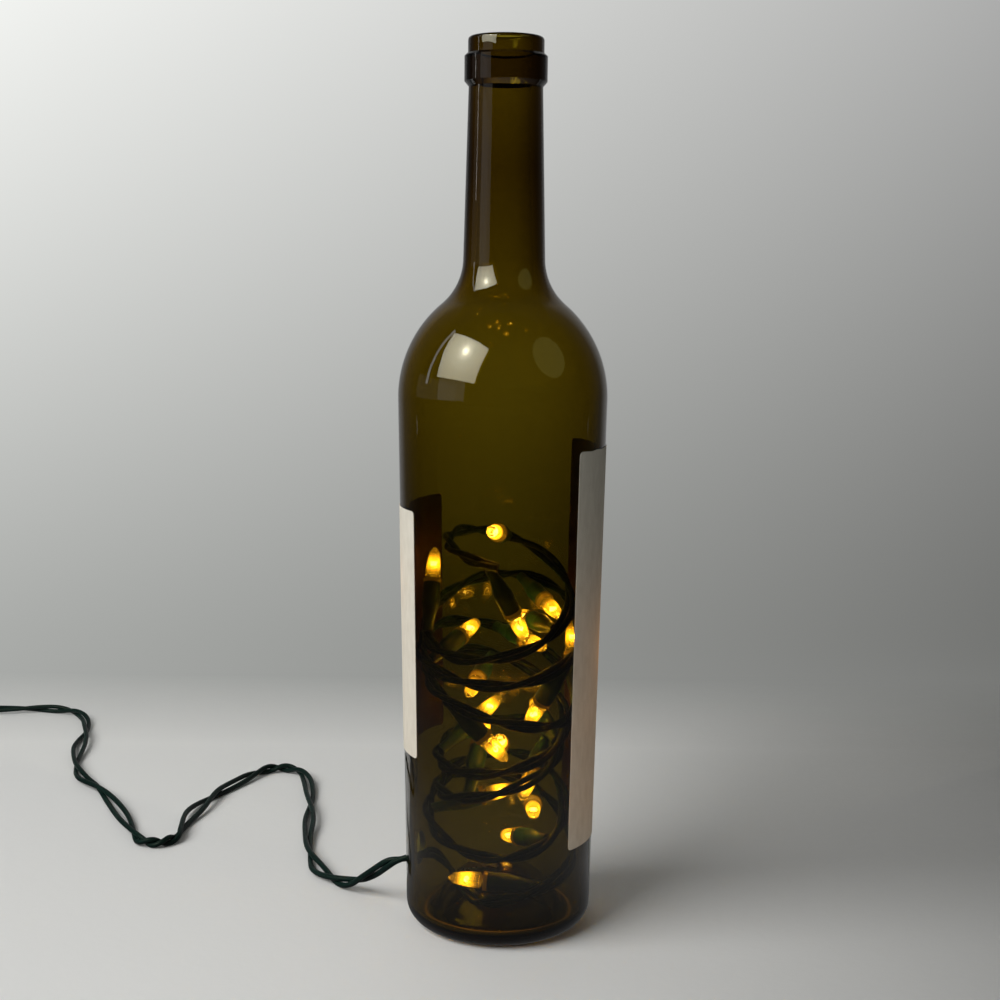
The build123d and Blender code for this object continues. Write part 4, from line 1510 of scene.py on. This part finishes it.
@dataclass(frozen=True)
class Softbox(Panel):
    """A soft light for surfaces that it shines on, for reflections or both. Its level is its radiance."""

    level: float
    tone: Triple = (1.0, 1.0, 1.0)
    shines: bool = True
    mirrored: bool = True

    def build(self) -> None:
        """Makes the light."""
        light = bpy.data.lights.new(self.name, "AREA")
        light.shape = "RECTANGLE"
        light.size = self.width
        light.size_y = self.height
        light.color = self.tone
        light.energy = self.level * math.pi * self.width * self.height
        lamp = add_object(self.name, light)
        lamp.matrix_world = self.placed()
        lamp.visible_camera = False
        lamp.visible_diffuse = self.shines
        lamp.visible_glossy = self.mirrored


@dataclass(frozen=True)
class Card(Panel):
    """A card of graded tone that only reflections see."""

    finish: CardFinish

    def build(self) -> None:
        """Makes the card as one flat face."""
        form = bmesh.new()
        size = Matrix.Diagonal((self.width, self.height, 1.0, 1.0))
        bmesh.ops.create_grid(form, x_segments=1, y_segments=1, size=0.5, matrix=self.placed() @ size)
        self.set_up(self.name, form, self.finish)

    @staticmethod
    def set_up(name: str, form: BMesh, finish: CardFinish) -> None:
        """Sets a form up as a card.

        Args:
            name: Name of the card.
            form: Its form.
            finish: Its finish.
        """
        card = add_piece(name, to_mesh(form, name), finish.material())
        for ray in ("camera", "diffuse", "transmission", "volume_scatter", "shadow"):
            setattr(card, f"visible_{ray}", False)


@dataclass
class Studio:
    """Camera, pale floor and wall, soft light and what reflections see. Sizes are in metres.

    A panel is given by its name, azimuth, elevation, distance, width and height, then its level or finish.
    """

    lens: float = 59.33
    sensor: float = 36.0
    clip_start: float = 0.01
    eye: Triple = (0.0, -0.598, 0.2479)
    tilt: float = 8.36
    roll: float = 0.0100
    shift: float = -0.0018
    floor_front: float = -1.8
    floor_back: float = 0.42
    sweep: float = 0.30
    sweep_steps: int = 24
    wall_top: float = 2.0
    half_width: float = 2.2
    world_tone: Colour = rgb(0.97, 0.99, 1.0)
    world_level: float = 0.11
    room_span: Span = (142.0, 398.0)
    room_steps: int = 12
    swept_steps: int = 48
    room_inner: float = 0.0292
    room_reach: float = 1.7
    room_lift: float = 0.0005
    side_spans: tuple[Span, ...] = ((96.0, 165.0), (15.0, 84.0))
    side_reach: float = 0.55
    side_height: float = 0.9
    softboxes: tuple[Softbox, ...] = (
        Softbox("window_left", 215.0, 34.0, 1.2, 1.05, 0.80, 5.8, mirrored=False),
        Softbox("window_left_foot", 212.0, 7.0, 1.3, 0.75, 0.40, 0.35, shines=False),
        Softbox("window_left_strip", 178.0, 28.0, 1.2, 0.07, 0.90, 1.6, shines=False),
        Softbox("wall_left", 188.0, 5.0, 1.4, 1.6, 0.36, 0.11, shines=False),
        Softbox("window_right", -28.0, 40.0, 1.5, 2.2, 1.35, 0.42, (1.0, 0.98, 0.3), shines=False),
    )
    cards: tuple[Card, ...] = (
        Card("window_pane", 215.0, 34.0, 1.2, 1.05, 0.80, WINDOW_GLARE),
        Card("dark_ceiling", 90.0, 68.0, 1.0, 1.6, 0.9, SHADE_CARD),
    )

    def camera(self) -> None:
        """Makes the camera at the photograph's view."""
        lens = bpy.data.cameras.new("camera")
        lens.sensor_width = self.sensor
        lens.lens = self.lens
        lens.shift_x = self.shift
        lens.clip_start = self.clip_start
        camera = add_object("camera", lens)
        pitch = Matrix.Rotation(math.radians(90.0 - self.tilt), 4, "X")
        camera.matrix_world = Matrix.Translation(self.eye) @ pitch @ Matrix.Rotation(self.roll, 4, "Z")
        bpy.context.scene.camera = camera

    def backdrop(self) -> None:
        """Makes the floor and the wall as one sweep."""
        pen = Pen(Vector((self.floor_front, 0.0, 0.0)))
        pen.line(Vector((self.floor_back, 0.0, 0.0)))
        turn = Vector((self.floor_back, 0.0, self.sweep))
        pen.arc(turn, turn + Vector((self.sweep, 0.0, 0.0)), self.sweep_steps)
        pen.line(Vector((self.floor_back + self.sweep, 0.0, self.wall_top)))
        form = pen.form
        quarter = Matrix.Rotation(math.pi / 2.0, 3, "Z")
        bmesh.ops.rotate(form, verts=form.verts[:], cent=ORIGIN, matrix=quarter)
        bmesh.ops.translate(form, verts=form.verts[:], vec=(-self.half_width, 0.0, 0.0))
        grown = bmesh.ops.extrude_edge_only(form, edges=form.edges[:])
        moved = [item for item in grown["geom"] if isinstance(item, BMVert)]
        bmesh.ops.translate(form, verts=moved, vec=(2.0 * self.half_width, 0.0, 0.0))
        form.normal_update()
        if sum(face.normal.z for face in form.faces) < 0.0:
            bmesh.ops.reverse_faces(form, faces=form.faces[:])
        add_piece("backdrop", to_mesh(form, "backdrop"), STAGE.material())

    def room(self) -> None:
        """Makes the dark room round the bottle, which only reflections see."""
        floor = Pen(Vector((self.room_inner, 0.0, self.room_lift)))
        floor.line(Vector((self.room_reach, 0.0, self.room_lift)))
        floor.arc(UP * self.room_lift, UP * (self.room_reach + self.room_lift), self.room_steps)
        self.swept("dark_room", floor.form, self.room_span, FLOOR_CARD)
        for number, span in enumerate(self.side_spans, start=1):
            side = Pen(Vector((self.side_reach, 0.0, 0.0)))
            side.line(Vector((self.side_reach, 0.0, self.side_height)))
            self.swept(f"dark_side_{number}", side.form, span, SIDE_CARD)
        for card in self.cards:
            card.build()

    def swept(self, name: str, form: BMesh, span: Span, finish: CardFinish) -> None:
        """Sweeps a profile round the bottle to a card.

        Args:
            name: Name of the card.
            form: The profile.
            span: First and last azimuth in degrees.
            finish: The card's finish.
        """
        first, last = (math.radians(angle) for angle in span)
        bmesh.ops.rotate(form, verts=form.verts[:], cent=ORIGIN, matrix=Matrix.Rotation(first, 3, "Z"))
        bmesh.ops.spin(form, geom=form.verts[:] + form.edges[:], cent=ORIGIN, axis=UP, angle=last - first,
                       steps=self.swept_steps)
        merge_and_face(form)
        Card.set_up(name, form, finish)

    def light(self) -> None:
        """Sets the world's level and the lights."""
        scene = bpy.context.scene
        scene.view_settings.view_transform = "Standard"
        world = bpy.data.worlds.new("room")
        world.use_nodes = True
        level = world.node_tree.nodes["Background"]
        level.inputs["Color"].default_value = self.world_tone
        level.inputs["Strength"].default_value = self.world_level
        scene.world = world
        for softbox in self.softboxes:
            softbox.build()


def main() -> None:
    """Builds the scene in order and reports each piece."""
    logging.basicConfig(level=logging.INFO, format="%(message)s")
    studio = Studio()
    studio.camera()
    bottle = Bottle()
    lamps = Lamps()
    pieces = Wiring().build(bottle)
    pieces.append(bottle.build(lamps.middles()))
    labels = (
        Label("front_paper", "front_label", width=54.0, height=146.0, middle=108.0, azimuth=-1.5,
              ragged=0.35),
        Label("back_paper", "back_label", width=52.0, height=91.0, middle=113.0, azimuth=172.5),
    )
    pieces += [label.build(bottle, lamps.middles()) for label in labels]
    pieces += lamps.build()
    pieces += Plug().build()
    studio.backdrop()
    studio.room()
    studio.light()
    for piece in pieces:
        LOG.info("%s: %d faces", piece.name, len(piece.data.polygons))


if __name__ == "__main__":
    main()
